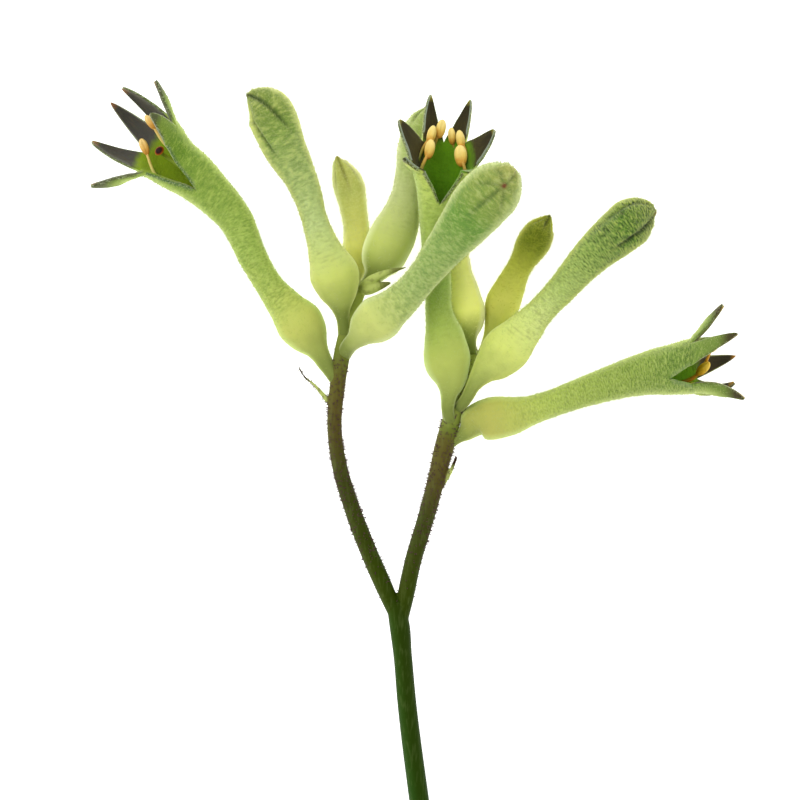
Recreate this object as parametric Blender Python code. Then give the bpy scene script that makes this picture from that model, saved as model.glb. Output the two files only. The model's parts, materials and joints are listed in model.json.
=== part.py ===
"""A cut kangaroo paw flower stem lying on its side: a forked stalk with five flowers on each branch.

X runs across the stem, Y from the cut end up to the flowers, Z up from the surface it lies on.
The origin is on that surface, under the middle of the stem's outline.
"""

from math import atan2, cos, sin, tau

import bmesh
import bpy
from mathutils import Matrix, Vector

MM = 0.001
UP = Vector((0, 0, 1))

# Sizes in millimetres

SEAT_GAP = 0.3
WALL = 0.7
ANTHER_LENGTH = 2.9
ANTHER_WIDTH = 1.45
FILAMENT_WIDTH = 0.62
STYLE_WIDTH = 0.62
BRACT_THICKNESS = 0.6
SURFACE_SPAN = 160
SURFACE_DEPTH = 10
SAME_POINT = 0.001

# Shares of a radius: how far a bud's seams are drawn in, the end of an open flower's solid core, and the
# foot of its wall, which starts inside that core

SEAM_DEPTH = 0.06
CORE_END_SHARE = 0.9
SHEET_FOOT_SHARE = 0.8

# Counts, and the shape of a lobe: its width falls as the distance left to the tip, to this power

BUD_SIDES = 12
STALK_SIDES = 10
BRACT_SIDES = 6
ROD_SIDES = 5
ANTHER_SIDES = 6
ANTHER_RINGS = 5
RINGS_PER_ROW = 2
SEAM_RINGS = 4
LOBES = 6
LOBE_STEPS = 4
LOBE_TAPER = 0.65
TWIST_END = 0.6

# Stamens grow from the wall this many rings below the mouth, where the slit is open by this share. Their
# anthers lean towards the way that the flower faces, by this much

STAMEN_RING = 2
STAMEN_OPENING = 0.8
ANTHER_LEAN = 1.5

# Each row below is a station along an axis: x, y, height above the surface, radius

STALK = (
    (1.9, -60.1, 1.4, 1.53),
    (0.3, -48.6, 2.5, 1.52),
    (-1.6, -33.3, 4.6, 1.45),
    (-2.2, -26.4, 5.9, 1.42),
    (-2.8, -21.1, 6.9, 1.52),
    (-3.4, -18.5, 7.4, 1.25),
)
LEFT_BRANCH = (
    (-2.7, -21.6, 6.8, 0.95),
    (-4.4, -17.4, 7.6, 1.26),
    (-7.3, -10.7, 8.8, 1.3),
    (-9.8, -4.1, 9.8, 1.23),
    (-11.7, 2.4, 10.7, 1.15),
    (-12.4, 7.9, 11.2, 1.1),
    (-12.0, 13.9, 11.6, 1.17),
    (-11.3, 18.8, 11.6, 1.25),
    (-10.2, 23.8, 11.2, 1.1),
    (-9.0, 27.4, 10.8, 0.95),
    (-7.8, 29.8, 10.2, 0.7),
)
RIGHT_BRANCH = (
    (-2.7, -22.6, 6.6, 0.95),
    (-1.8, -17.7, 7.4, 1.26),
    (-0.6, -12.0, 8.4, 1.28),
    (1.2, -5.9, 9.4, 1.28),
    (2.9, 0.4, 10.2, 1.33),
    (4.2, 5.7, 10.7, 1.48),
    (5.4, 9.9, 10.4, 1.35),
    (7.0, 13.9, 9.6, 1.1),
    (7.9, 17.8, 8.9, 0.95),
    (8.5, 20.0, 8.6, 0.7),
)

# Small pointed leaves on the branches, each with its root inside the branch

BRACTS = (
    (
        (-12.1, 10.4, 11.4, 0.5),
        (-14.3, 13.1, 11.7, 0.5),
        (-15.5, 14.45, 11.95, 0.4),
        (-16.9, 15.6, 12.2, 0.32),
        (-17.7, 17.0, 12.4, 0.3),
    ),
    ((3.4, -1.2, 10.2, 0.4), (5.0, 1.5, 11.2, 0.45), (5.9, 3.7, 11.8, 0.3)),
    ((-8.6, 28.2, 10.6, 0.5), (-7.0, 28.6, 12.4, 0.75), (-5.0, 29.3, 12.9, 0.5), (-3.9, 29.6, 12.9, 0.3)),
    ((-8.8, 28.8, 10.6, 0.5), (-6.6, 30.2, 12.9, 0.7), (-3.6, 31.4, 13.4, 0.4), (-1.6, 31.9, 13.5, 0.3)),
)

# Closed buds: foot, pedicel, ovary, neck, club and tip

BUDS = {
    "bud_left_tall": (
        (-10.8, 22.0, 11.5, 0.9),
        (-11.1, 24.4, 12.0, 1.05),
        (-11.7, 27.7, 12.6, 2.65),
        (-12.4, 30.8, 12.8, 3.7),
        (-13.7, 34.2, 12.9, 2.65),
        (-15.1, 38.2, 12.9, 1.95),
        (-16.8, 43.8, 12.7, 2.28),
        (-20.1, 50.4, 12.4, 3.3),
        (-21.4, 53.6, 12.3, 3.6),
        (-22.3, 55.4, 12.2, 3.5),
        (-23.4, 56.5, 12.1, 2.85),
        (-24.5, 57.2, 12.0, 1.85),
        (-25.3, 57.6, 12.0, 0.95),
        (-25.8, 57.8, 12.0, 0.0),
    ),
    "bud_left_small": (
        (-9.0, 27.6, 10.6, 0.65),
        (-9.5, 28.9, 8.3, 0.85),
        (-9.3, 31.4, 5.3, 1.6),
        (-9.0, 34.2, 3.8, 2.45),
        (-9.2, 37.7, 3.5, 1.95),
        (-9.8, 42.0, 3.5, 2.1),
        (-10.4, 44.6, 3.5, 2.35),
        (-11.4, 47.2, 3.5, 1.65),
        (-12.0, 48.5, 3.5, 0.85),
        (-12.2, 49.2, 3.5, 0.0),
    ),
    "bud_left_back": (
        (-7.7, 29.5, 10.1, 0.67),
        (-6.5, 30.9, 9.5, 1.65),
        (-5.7, 32.6, 9.1, 2.95),
        (-4.6, 34.9, 8.7, 3.5),
        (-3.5, 37.2, 8.3, 3.45),
        (-2.4, 39.9, 7.7, 2.9),
        (-1.6, 43.0, 6.7, 2.3),
        (-0.8, 46.2, 5.2, 2.49),
        (0.2, 50.6, 3.8, 3.07),
        (0.8, 53.5, 3.5, 2.7),
        (1.2, 56.0, 3.4, 1.14),
        (1.3, 56.8, 3.4, 0.0),
    ),
    "bud_left_front": (
        (-11.1, 19.3, 11.6, 0.9),
        (-10.1, 20.3, 13.2, 1.12),
        (-9.0, 21.3, 14.5, 1.49),
        (-7.8, 22.6, 15.3, 2.7),
        (-6.0, 24.0, 15.9, 3.45),
        (-3.4, 26.0, 16.5, 2.8),
        (-0.7, 28.6, 17.0, 2.37),
        (4.0, 34.5, 18.0, 2.98),
        (6.5, 37.6, 18.8, 3.65),
        (9.4, 41.2, 19.9, 4.3),
        (11.8, 43.6, 20.7, 4.0),
        (13.3, 45.1, 21.2, 3.1),
        (14.2, 46.0, 21.5, 1.9),
        (14.6, 46.4, 21.6, 0.95),
        (14.7, 46.5, 21.6, 0.0),
    ),
    "bud_right_back": (
        (8.2, 19.5, 9.0, 0.68),
        (7.9, 21.4, 8.5, 1.1),
        (7.6, 23.1, 7.8, 2.4),
        (7.2, 25.1, 7.2, 3.1),
        (6.8, 28.0, 6.5, 2.7),
        (6.2, 31.5, 5.8, 2.05),
        (5.7, 36.3, 5.1, 2.05),
        (6.0, 43.0, 4.2, 2.65),
        (6.0, 45.4, 4.0, 2.3),
        (6.0, 47.4, 3.9, 0.91),
        (6.0, 48.0, 3.9, 0.0),
    ),
    "bud_right_small": (
        (7.6, 16.6, 9.2, 0.68),
        (9.2, 18.0, 7.8, 0.9),
        (11.0, 20.9, 6.7, 1.2),
        (12.1, 23.6, 6.2, 2.0),
        (12.9, 26.5, 5.3, 2.62),
        (14.3, 29.75, 5.0, 2.2),
        (15.55, 32.35, 4.7, 1.85),
        (17.9, 36.4, 4.3, 2.5),
        (18.8, 38.0, 4.2, 2.1),
        (19.6, 39.3, 4.2, 1.2),
        (20.1, 40.1, 4.2, 0.4),
        (20.2, 40.3, 4.2, 0.0),
    ),
    "bud_right_long": (
        (6.1, 10.9, 10.7, 0.8),
        (7.3, 12.3, 12.8, 0.92),
        (8.4, 14.3, 13.3, 1.1),
        (9.9, 16.3, 13.2, 1.95),
        (11.5, 17.8, 13.0, 3.05),
        (13.2, 19.6, 12.8, 3.55),
        (15.7, 22.3, 12.6, 2.85),
        (18.3, 25.2, 12.3, 2.1),
        (21.2, 28.3, 12.3, 2.17),
        (26.4, 34.0, 12.6, 2.93),
        (30.4, 37.4, 12.7, 3.52),
        (32.3, 38.9, 12.7, 3.55),
        (34.2, 40.1, 12.7, 2.55),
        (35.5, 40.6, 12.7, 1.1),
        (35.9, 40.7, 12.7, 0.0),
    ),
}

# Open flowers: the axis up to the mouth, the row where the slit starts, and the bearing of the slit
# in turns, counted from straight up towards the right of someone looking along the axis from above.
# Lobe tips go round the mouth from one side of the slit to the other. A lobe's fourth number is how far it
# bows outwards, as a share of its length, and its twist is in turns. The lean is how much further than at
# the slit the rim reaches on the far side, and the shares of the way round where it starts and is full. An
# anther's second point is where its filament bends, and sets the side of the wall that it grows from.

OPEN_FLOWERS = {
    "flower_left_open": {
        "axis": (
            (-11.9, 14.6, 11.6, 0.85),
            (-13.4, 17.0, 11.6, 1.12),
            (-14.9, 19.5, 11.5, 1.7),
            (-16.2, 21.5, 11.4, 3.0),
            (-17.5, 23.4, 11.3, 3.58),
            (-19.4, 25.75, 11.1, 2.87),
            (-21.8, 28.7, 10.6, 2.15),
            (-24.7, 33.55, 9.8, 2.15),
            (-27.2, 39.0, 8.9, 2.55),
            (-31.7, 44.0, 7.8, 3.24),
            (-33.8, 45.9, 7.3, 3.72),
            (-35.8, 47.4, 6.9, 4.2),
            (-37.4, 48.8, 6.7, 4.85),
        ),
        "slit_row": 9,
        "slit_turn": 0.93,
        "slit_width": 0.2,
        "lean": (4.0, 0.0, 1.0),
        "twists": (0.0, -0.04, 0.0, 0.0, 0.0, 0.09),
        "tips": (
            (-39.9, 55.0, 12.2, 0.12),
            (-39.2, 60.3, 8.0, 0.05),
            (-44.6, 59.6, 3.6, 0.1),
            (-46.8, 57.5, -0.1, 0.1),
            (-49.6, 51.2, 1.4, 0.1),
            (-49.2, 44.1, 7.2, 0.06),
        ),
        "anthers": (
            (-36.0, 50.4, 8.0, -34.4, 48.4, 7.6),
            (-36.8, 51.2, 6.8, -34.8, 48.8, 6.6),
            (-40.4, 53.9, 5.4, -37.0, 51.0, 5.6),
            (-41.2, 50.3, 5.0, -38.3, 45.5, 5.4),
            (-36.6, 50.2, 5.2, -34.4, 47.6, 5.4),
            (-36.0, 48.8, 6.0, -34.0, 46.6, 6.2),
        ),
        "style": ((-33.8, 45.9, 7.3), (-38.7, 49.4, 7.9)),
    },
    "flower_right_facing": {
        "axis": (
            (5.2, 8.4, 10.8, 0.8),
            (4.5, 10.8, 12.1, 0.97),
            (4.7, 12.7, 12.4, 1.25),
            (4.9, 14.6, 12.5, 2.25),
            (4.5, 17.6, 12.4, 3.45),
            (4.1, 21.1, 12.0, 3.05),
            (3.3, 25.0, 11.5, 2.08),
            (3.1, 29.2, 11.2, 1.95),
            (2.9, 34.0, 11.0, 2.15),
            (3.1, 38.4, 11.1, 2.75),
            (3.4, 41.6, 11.5, 3.37),
            (3.7, 44.0, 11.9, 3.97),
            (3.8, 46.2, 12.3, 4.6),
        ),
        "slit_row": 10,
        "slit_turn": 0.0,
        "slit_width": 0.22,
        "lean": (3.7, 0.4, 0.85),
        "twists": (0.0, 0.0, 0.0, 0.0, 0.0, 0.0),
        "tips": (
            (12.6, 44.6, 14.2, 0.12),
            (11.8, 52.4, 10.6, 0.08),
            (8.1, 57.3, 8.2, 0.12),
            (1.9, 58.1, 8.2, 0.12),
            (-3.0, 53.9, 10.4, -0.02),
            (-2.2, 47.8, 18.8, 0.12),
        ),
        "anthers": (
            (6.55, 48.6, 11.6),
            (6.6, 51.0, 10.6),
            (5.2, 51.5, 9.6),
            (3.5, 52.6, 9.5),
            (2.0, 51.5, 10.4),
            (1.8, 49.3, 11.6),
        ),
        "style": ((3.0, 40.0, 10.6), (1.1, 44.4, 10.4)),
    },
    "flower_right_side": {
        "axis": (
            (4.7, 5.4, 10.7, 0.75),
            (6.3, 6.6, 10.8, 0.95),
            (7.4, 7.4, 10.8, 1.45),
            (8.6, 8.7, 10.8, 2.5),
            (11.0, 9.3, 10.8, 3.2),
            (14.0, 9.7, 10.7, 2.9),
            (16.9, 10.5, 10.6, 2.25),
            (19.9, 11.5, 10.4, 2.02),
            (23.6, 12.8, 10.0, 2.17),
            (29.3, 14.7, 9.1, 2.62),
            (35.0, 16.2, 8.2, 3.31),
            (37.7, 16.6, 7.8, 3.76),
            (40.2, 17.0, 7.5, 4.2),
        ),
        "slit_row": 10.5,
        "slit_turn": 0.06,
        "slit_width": 0.13,
        "lean": (2.4, 0.0, 1.0),
        "twists": (-0.03, 0.0, 0.0, 0.0, 0.05, 0.0),
        "tips": (
            (48.9, 12.2, 10.6, 0.05),
            (47.7, 14.5, 4.4, 0.05),
            (48.6, 18.8, -0.1, 0.12),
            (46.5, 21.5, 3.6, 0.05),
            (45.8, 26.6, 8.6, 0.0),
            (47.8, 22.1, 12.8, 0.05),
        ),
        "anthers": (
            (41.4, 14.4, 5.6, 39.4, 14.2, 6.0),
            (41.6, 14.0, 4.8, 39.6, 13.8, 5.2),
            (43.0, 16.7, 6.4, 41.1, 15.2, 5.4),
            (42.6, 19.9, 5.4),
            (42.8, 20.3, 7.0),
            (44.6, 20.3, 8.2, 41.2, 15.4, 5.6),
        ),
        "style": ((36.5, 16.4, 8.0), (42.0, 20.2, 6.0)),
    },
}

GREEN_STALK = (0.045, 0.095, 0.02, 1)
GREEN_BUD = (0.38, 0.52, 0.14, 1)
GREEN_TUBE = (0.3, 0.46, 0.1, 1)


def clear_scene():
    for obj in list(bpy.data.objects):
        bpy.data.objects.remove(obj, do_unlink=True)
    for mesh in list(bpy.data.meshes):
        bpy.data.meshes.remove(mesh)


def plant_material(name, colour, roughness):
    made = bpy.data.materials.new(name)
    made.use_nodes = True
    shader = made.node_tree.nodes["Principled BSDF"]
    shader.inputs["Base Color"].default_value = colour
    shader.inputs["Roughness"].default_value = roughness
    shader.inputs["Metallic"].default_value = 0.0
    return made


def smooth_rows(rows, steps):
    """The rows with steps - 1 more between each pair, on a smooth curve through them all."""
    values = [Vector(row[:3]).to_4d() for row in rows]
    for value, row in zip(values, rows):
        value[3] = row[3]
    ends = [values[0] * 2 - values[1], *values, values[-1] * 2 - values[-2]]
    out = []
    for before, start, end, after in zip(ends, ends[1:], ends[2:], ends[3:]):
        last = (start - before).to_3d().length
        this = (end - start).to_3d().length
        next_one = (after - end).to_3d().length
        slope = (end - start) / this
        leave = (slope * last + (start - before) / last * this) / (last + this)
        arrive = ((after - end) / next_one * this + slope * next_one) / (this + next_one)
        for step in range(steps):
            t = step / steps
            out.append(
                start * (2 * t**3 - 3 * t**2 + 1)
                + end * (3 * t**2 - 2 * t**3)
                + leave * this * (t**3 - 2 * t**2 + t)
                + arrive * this * (t**3 - t**2)
            )
    out.append(values[-1])
    return [(row.to_3d(), max(row[3], 0.0)) for row in out]


def frames_along(rows):
    """For each row, the matrix that puts a flat ring there: its X to the side, its Y upwards, its Z ahead."""
    made = []
    for index, (centre, _) in enumerate(rows):
        behind = rows[max(index - 1, 0)][0]
        ahead = (rows[min(index + 1, len(rows) - 1)][0] - behind).normalized()
        side = ahead.cross(UP).normalized()
        turn = Matrix((side, side.cross(ahead), ahead)).transposed().to_4x4()
        made.append(Matrix.Translation(centre) @ turn)
    return made


def ring_matrix(frame, radius, half_thickness):
    depth = radius if half_thickness is None else half_thickness
    return frame @ Matrix.Diagonal((radius, depth, 1, 1))


def loft(rows, sides, half_thickness=None, seam_from=None):
    """A closed tube through the rows, or a flat blade if it has a half_thickness. Past the row seam_from,
    every other side is drawn in as a seam."""
    bm = bmesh.new()
    frames = frames_along(rows)
    at = ring_matrix(frames[0], rows[0][1], half_thickness)
    ring = bmesh.ops.create_circle(bm, cap_ends=True, segments=sides, radius=1, matrix=at)["verts"]
    edges = list(bm.edges)
    seams = []
    for index in range(1, len(rows)):
        made = bmesh.ops.extrude_edge_only(bm, edges=edges)["geom"]
        ring = [item for item in made if isinstance(item, bmesh.types.BMVert)]
        edges = [item for item in made if isinstance(item, bmesh.types.BMEdge)]
        if rows[index][1] == 0:
            bmesh.ops.pointmerge(bm, verts=ring, merge_co=rows[index][0])
            break
        to = ring_matrix(frames[index], rows[index][1], half_thickness)
        bmesh.ops.transform(bm, matrix=to @ at.inverted(), verts=ring)
        at = to
        if seam_from is not None and index > seam_from:
            share = min((index - seam_from) / SEAM_RINGS, 1)
            seams.append((frames[index], share, ring))
    else:
        bmesh.ops.contextual_create(bm, geom=edges)
    for frame, share, ring in seams:
        centre = frame.to_translation()
        for vert in ring:
            out = vert.co - centre
            bearing = Vector((out.dot(frame.col[1].to_3d()), out.dot(frame.col[0].to_3d())))
            turn = Vector((1, 0)).angle_signed(bearing) / tau * sides
            if round(turn) % 2:
                vert.co -= out * SEAM_DEPTH * share
    bmesh.ops.recalc_face_normals(bm, faces=bm.faces)
    return bm


def ease(value, low, high):
    """0 below low, 1 above high, and smooth between them."""
    share = min(max((value - low) / (high - low), 0.0), 1.0)
    return share * share * (3 - 2 * share)


def wall_point(frame, radius, turn, ahead=0.0):
    """A point at a bearing round the axis, moved ahead along it."""
    bearing = turn * tau
    return frame @ Vector((sin(bearing) * radius, cos(bearing) * radius, ahead))


def bearing_of(frame, point):
    """The bearing of a point round the axis, in turns."""
    local = frame.inverted() @ point
    return atan2(local.x, local.y) / tau


def column_turn(flower, column, opening):
    """The bearing of one of the sheet's columns. The opening is 0 at the slit's foot and 1 at the mouth."""
    width = flower["slit_width"] * opening
    return flower["slit_turn"] + width / 2 + column / (2 * LOBES) * (1 - width)


def opened_sheet(flower, rows, frames, first, slit):
    """The wall as one sheet: rolled round the axis, split along the slit, cut into lobes at the mouth."""
    columns = 2 * LOBES
    last = len(rows) - 1
    count = last - first
    bm = bmesh.new()
    bmesh.ops.create_grid(bm, x_segments=columns, y_segments=count, size=0.5)
    border = {}
    closing = []
    lean, low, high = flower["lean"]
    for vert in bm.verts:
        column = round((vert.co.x + 0.5) * columns)
        index = first + round((vert.co.y + 0.5) * count)
        opening = max(index - slit, 0) / (last - slit)
        radius = rows[index][1] * (SHEET_FOOT_SHARE if index == first else 1)
        turn = column_turn(flower, column, opening)
        away = (1 - cos((turn - flower["slit_turn"]) * tau)) / 2
        away = away if low == 0 else ease(away, low, high)
        vert.co = wall_point(frames[index], radius, turn, lean * opening * away)
        if index == last:
            border[column] = vert
        if index <= slit and column in (0, columns):
            closing.append(vert)
    bmesh.ops.remove_doubles(bm, verts=closing, dist=SAME_POINT)
    for lobe, (*tip, bow) in enumerate(flower["tips"]):
        feet = [border[2 * lobe + step] for step in range(3)]
        grow_lobe(bm, feet, rows[last][0], Vector(tip), (bow, flower["twists"][lobe]))
    bmesh.ops.recalc_face_normals(bm, faces=bm.faces)
    return bm


def grow_lobe(bm, feet, mouth, tip, ways):
    """Draws the rim between three feet out to the tip, as a pointed lobe. Its ways are how far it bows away
    from the mouth, and how far it twists about its own length in turns."""
    bow, twist = ways
    start, middle, end = (foot.co.copy() for foot in feet)
    reach = tip - middle
    outward = middle - mouth
    outward -= reach * outward.dot(reach) / reach.length_squared
    bend = middle + reach / 2 + outward.normalized() * reach.length * bow
    half = (end - start) / 2
    inset = (start + end) / 2 - middle
    edges = [edge for edge in bm.edges if edge.verts[0] in feet and edge.verts[1] in feet]
    row = feet
    for step in range(1, LOBE_STEPS + 1):
        t = step / LOBE_STEPS
        made = bmesh.ops.extrude_edge_only(bm, edges=edges)["geom"]
        verts = {item for item in made if isinstance(item, bmesh.types.BMVert)}
        edges = [item for item in made if isinstance(item, bmesh.types.BMEdge)]
        edges = [edge for edge in edges if verts.issuperset(edge.verts)]
        row = [min(verts, key=lambda vert: (vert.co - old.co).length) for old in row]
        heart = middle * (1 - t) ** 2 + bend * 2 * t * (1 - t) + tip * t**2
        width = (1 - t) ** LOBE_TAPER
        turned = Matrix.Rotation(twist * ease(t, 0, TWIST_END) * tau, 3, reach)
        row[0].co = heart + turned @ (inset * (1 - t) - half * width)
        row[1].co = heart
        row[2].co = heart + turned @ (inset * (1 - t) + half * width)
    bmesh.ops.pointmerge(bm, verts=row, merge_co=tip)


def thicken(bm, centre):
    """Gives the sheet its wall, on the side of the axis. The centre is a point of the axis near its foot."""
    bm.faces.ensure_lookup_table()
    nearest = min(bm.faces, key=lambda face: (face.calc_center_median() - centre).length)
    if nearest.normal.dot(nearest.calc_center_median() - centre) < 0:
        bmesh.ops.reverse_faces(bm, faces=bm.faces)
    bm.normal_update()
    bmesh.ops.solidify(bm, geom=bm.faces[:], thickness=WALL)
    bmesh.ops.recalc_face_normals(bm, faces=bm.faces)


def rod(start, end, width):
    """A closed round rod from start to end."""
    start, end = Vector(start), Vector(end)
    bm = bmesh.new()
    turn = (end - start).to_track_quat("Z", "Y").to_matrix().to_4x4()
    middle = Matrix.Translation((start + end) / 2)
    bmesh.ops.create_cone(
        bm,
        cap_ends=True,
        segments=ROD_SIDES,
        radius1=width / 2,
        radius2=width / 2,
        depth=(end - start).length,
        matrix=middle @ turn,
    )
    return bm


def anther(centre, ahead):
    """A pollen sac: a narrow egg lying along ahead."""
    bm = bmesh.new()
    turn = ahead.to_track_quat("Z", "Y").to_matrix().to_4x4()
    size = Matrix.Diagonal((ANTHER_WIDTH / 2, ANTHER_WIDTH / 2, ANTHER_LENGTH / 2, 1))
    bmesh.ops.create_uvsphere(
        bm,
        u_segments=ANTHER_SIDES,
        v_segments=ANTHER_RINGS,
        radius=1,
        matrix=Matrix.Translation(centre) @ turn @ size,
    )
    return bm


def add_object(name, bm, material, collection=None):
    bmesh.ops.scale(bm, vec=(MM, MM, MM), verts=bm.verts)
    mesh = bpy.data.meshes.new(name)
    bm.to_mesh(mesh)
    bm.free()
    mesh.shade_smooth()
    if material:
        mesh.materials.append(material)
    obj = bpy.data.objects.new(name, mesh)
    (collection or bpy.context.scene.collection).objects.link(obj)
    return obj


def fuse(target, shapes):
    """Joins the shapes to the target as one body and removes them."""
    group = bpy.data.collections.new(target.name + "_shapes")
    bpy.context.scene.collection.children.link(group)
    for index, bm in enumerate(shapes):
        add_object(f"{target.name}_shape_{index}", bm, None, group)
    union = target.modifiers.new("union", "BOOLEAN")
    union.operation = "UNION"
    union.operand_type = "COLLECTION"
    union.collection = group
    union.solver = "EXACT"
    bpy.context.view_layer.update()
    graph = bpy.context.evaluated_depsgraph_get()
    joined = bpy.data.meshes.new_from_object(target.evaluated_get(graph))
    target.modifiers.remove(union)
    target.data = joined
    for obj in list(group.objects):
        bpy.data.objects.remove(obj, do_unlink=True)
    bpy.data.collections.remove(group)


def cut(target, cutter, name, solver="EXACT"):
    step = target.modifiers.new(name, "BOOLEAN")
    step.operation = "DIFFERENCE"
    step.object = cutter
    step.solver = solver


def as_guide(obj):
    obj.hide_render = True
    obj.display_type = "WIRE"


def branching(extra):
    """The stalk and its two branches, as closed tubes, extra larger all round."""
    tubes = []
    for rows in (STALK, LEFT_BRANCH, RIGHT_BRANCH):
        spaced = [(centre, radius + extra) for centre, radius in smooth_rows(rows, RINGS_PER_ROW)]
        ahead = (spaced[-1][0] - spaced[-2][0]).normalized()
        spaced[-1] = (spaced[-1][0] + ahead * extra, spaced[-1][1])
        tubes.append(loft(spaced, STALK_SIDES))
    return tubes


def build_stem(material):
    tubes = branching(0)
    bracts = [loft(smooth_rows(rows, RINGS_PER_ROW), BRACT_SIDES, BRACT_THICKNESS / 2) for rows in BRACTS]
    stem = add_object("stem", tubes[0], material)
    fuse(stem, tubes[1:] + bracts)
    return stem


def build_clearance():
    """What the flowers' feet are cut back to: the branches with the seating gap round them."""
    tubes = branching(SEAT_GAP)
    guide = add_object("stem_clearance", tubes[0], None)
    fuse(guide, tubes[1:])
    as_guide(guide)
    return guide


def build_surface():
    """The surface that the stem rests on, as a block under it."""
    bm = bmesh.new()
    size = Matrix.Diagonal((SURFACE_SPAN, SURFACE_SPAN, SURFACE_DEPTH, 1))
    bmesh.ops.create_cube(bm, size=1, matrix=Matrix.Translation((0, 0, -SURFACE_DEPTH / 2)) @ size)
    guide = add_object("surface_guide", bm, None)
    as_guide(guide)
    return guide


def build_open_flower(name, flower, material):
    """A solid core up to below the slit, then the wall, six stamens rooted in the wall, and the style."""
    rows = smooth_rows(flower["axis"], RINGS_PER_ROW)
    frames = frames_along(rows)
    slit = round(flower["slit_row"] * RINGS_PER_ROW)
    core_end = slit - RINGS_PER_ROW
    first = core_end - 1
    core = rows[:core_end] + [(rows[core_end][0], rows[core_end][1] * CORE_END_SHARE)]
    body = add_object(name, loft(core, BUD_SIDES), material)
    sheet = opened_sheet(flower, rows, frames, first, slit)
    thicken(sheet, rows[core_end][0])
    shapes = [sheet]
    ring = len(rows) - 1 - STAMEN_RING
    onwards = (rows[-1][0] - rows[-2][0]).normalized()
    for index, row in enumerate(flower["anthers"]):
        centre = Vector(row[:3])
        turn = column_turn(flower, 2 * index + 1, STAMEN_OPENING)
        if row[3:]:
            turn = bearing_of(frames[ring], Vector(row[3:]))
        root = wall_point(frames[ring], rows[ring][1] - WALL / 2, turn)
        ahead = centre - Vector(row[3:]) if row[3:] else (centre - root).normalized() + onwards * ANTHER_LEAN
        shapes.append(rod(root, centre, FILAMENT_WIDTH))
        shapes.append(anther(centre, ahead))
    start, end = flower["style"]
    foot = rows[first][0]
    shapes.append(rod(foot, start, STYLE_WIDTH))
    shapes.append(rod(start, end, STYLE_WIDTH))
    fuse(body, shapes)
    return body


def main():
    clear_scene()
    stalk_green = plant_material("stalk_green", GREEN_STALK, 0.55)
    bud_green = plant_material("bud_green", GREEN_BUD, 0.8)
    flower_green = plant_material("flower_green", GREEN_TUBE, 0.75)
    stem = build_stem(stalk_green)
    clearance = build_clearance()
    surface = build_surface()
    cut(stem, surface, "rest")
    for name, rows in BUDS.items():
        spaced = smooth_rows(rows, RINGS_PER_ROW)
        bud = add_object(name, loft(spaced, BUD_SIDES, seam_from=len(spaced) // 2), bud_green)
        cut(bud, clearance, "seat")
    for name, flower in OPEN_FLOWERS.items():
        body = build_open_flower(name, flower, flower_green)
        cut(body, clearance, "seat", "MANIFOLD")
        cut(body, surface, "rest", "MANIFOLD")


main()
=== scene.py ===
"""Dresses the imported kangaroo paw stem: felted skins, fine hairs, stamens, stem, floor, light and camera.

The rows of numbers are the same stations as in the part's source, in millimetres. Meshes are shaped in
millimetres and scaled to metres at the end.
"""

import json
from functools import partial
from math import atan2, cos, exp, sin, tau
from random import Random

import bmesh
import bpy
from bpy.props import FloatProperty, IntProperty, PointerProperty
from mathutils import Matrix, Vector, noise

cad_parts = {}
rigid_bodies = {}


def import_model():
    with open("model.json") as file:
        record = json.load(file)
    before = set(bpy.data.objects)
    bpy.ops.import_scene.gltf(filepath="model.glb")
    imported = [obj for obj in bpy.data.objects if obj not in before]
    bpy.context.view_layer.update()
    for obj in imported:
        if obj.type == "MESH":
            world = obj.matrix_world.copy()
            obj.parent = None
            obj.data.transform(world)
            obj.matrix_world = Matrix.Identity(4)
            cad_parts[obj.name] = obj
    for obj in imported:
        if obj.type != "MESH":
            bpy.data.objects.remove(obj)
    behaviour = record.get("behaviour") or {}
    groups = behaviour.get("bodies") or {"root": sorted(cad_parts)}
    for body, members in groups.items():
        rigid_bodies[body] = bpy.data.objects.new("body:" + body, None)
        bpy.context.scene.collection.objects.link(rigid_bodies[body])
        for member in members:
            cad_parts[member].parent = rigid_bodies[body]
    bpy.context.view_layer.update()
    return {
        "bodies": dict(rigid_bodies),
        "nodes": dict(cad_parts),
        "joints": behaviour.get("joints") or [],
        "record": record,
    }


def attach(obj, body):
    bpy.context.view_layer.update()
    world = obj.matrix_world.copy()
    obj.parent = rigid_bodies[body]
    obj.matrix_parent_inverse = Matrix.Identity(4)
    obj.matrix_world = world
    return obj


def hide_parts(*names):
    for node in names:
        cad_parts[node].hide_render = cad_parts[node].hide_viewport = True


bl_info = {
    "name": "Kangaroo Paw Flower",
    "version": (1, 0, 0),
    "blender": (4, 5, 0),
    "location": "3D View > Sidebar > Flower",
    "description": "Builds the felted flowers, the stamens and the forked stem over their solids",
    "category": "Object",
}

for obj in list(bpy.data.objects):
    bpy.data.objects.remove(obj, do_unlink=True)
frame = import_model()

MM = 0.001
UP = Vector((0, 0, 1))
LOBES = 6
FLOOR_CLEARANCE = 0.02
MERGE = 0.0005
SORTED_ALONG = Vector((0.31, 1.0, 0.57))
SMOOTHINGS = 4
BRISTLE_SHARE, BRISTLE_HALF = 0.08, 0.08
BUD_SEED, OPEN_SEED, STEM_SEED = 11, 71, 5
CAMERA_PLACE = (-0.0026, 0.0121, 0.61)
CAMERA_LENS, CAMERA_SENSOR = 180, 36
LENGTH = {"subtype": "DISTANCE", "unit": "LENGTH"}
COLOURS = {"out": 2, "data_type": "RGBA"}
PRODUCT = {"operation": "MULTIPLY"}
SUM_OF_PRODUCT = {"operation": "MULTIPLY_ADD"}
WHITE = (1.0, 1.0, 1.0, 1.0)

# Each row is a station along an axis: x, y, height above the surface, radius

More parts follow.
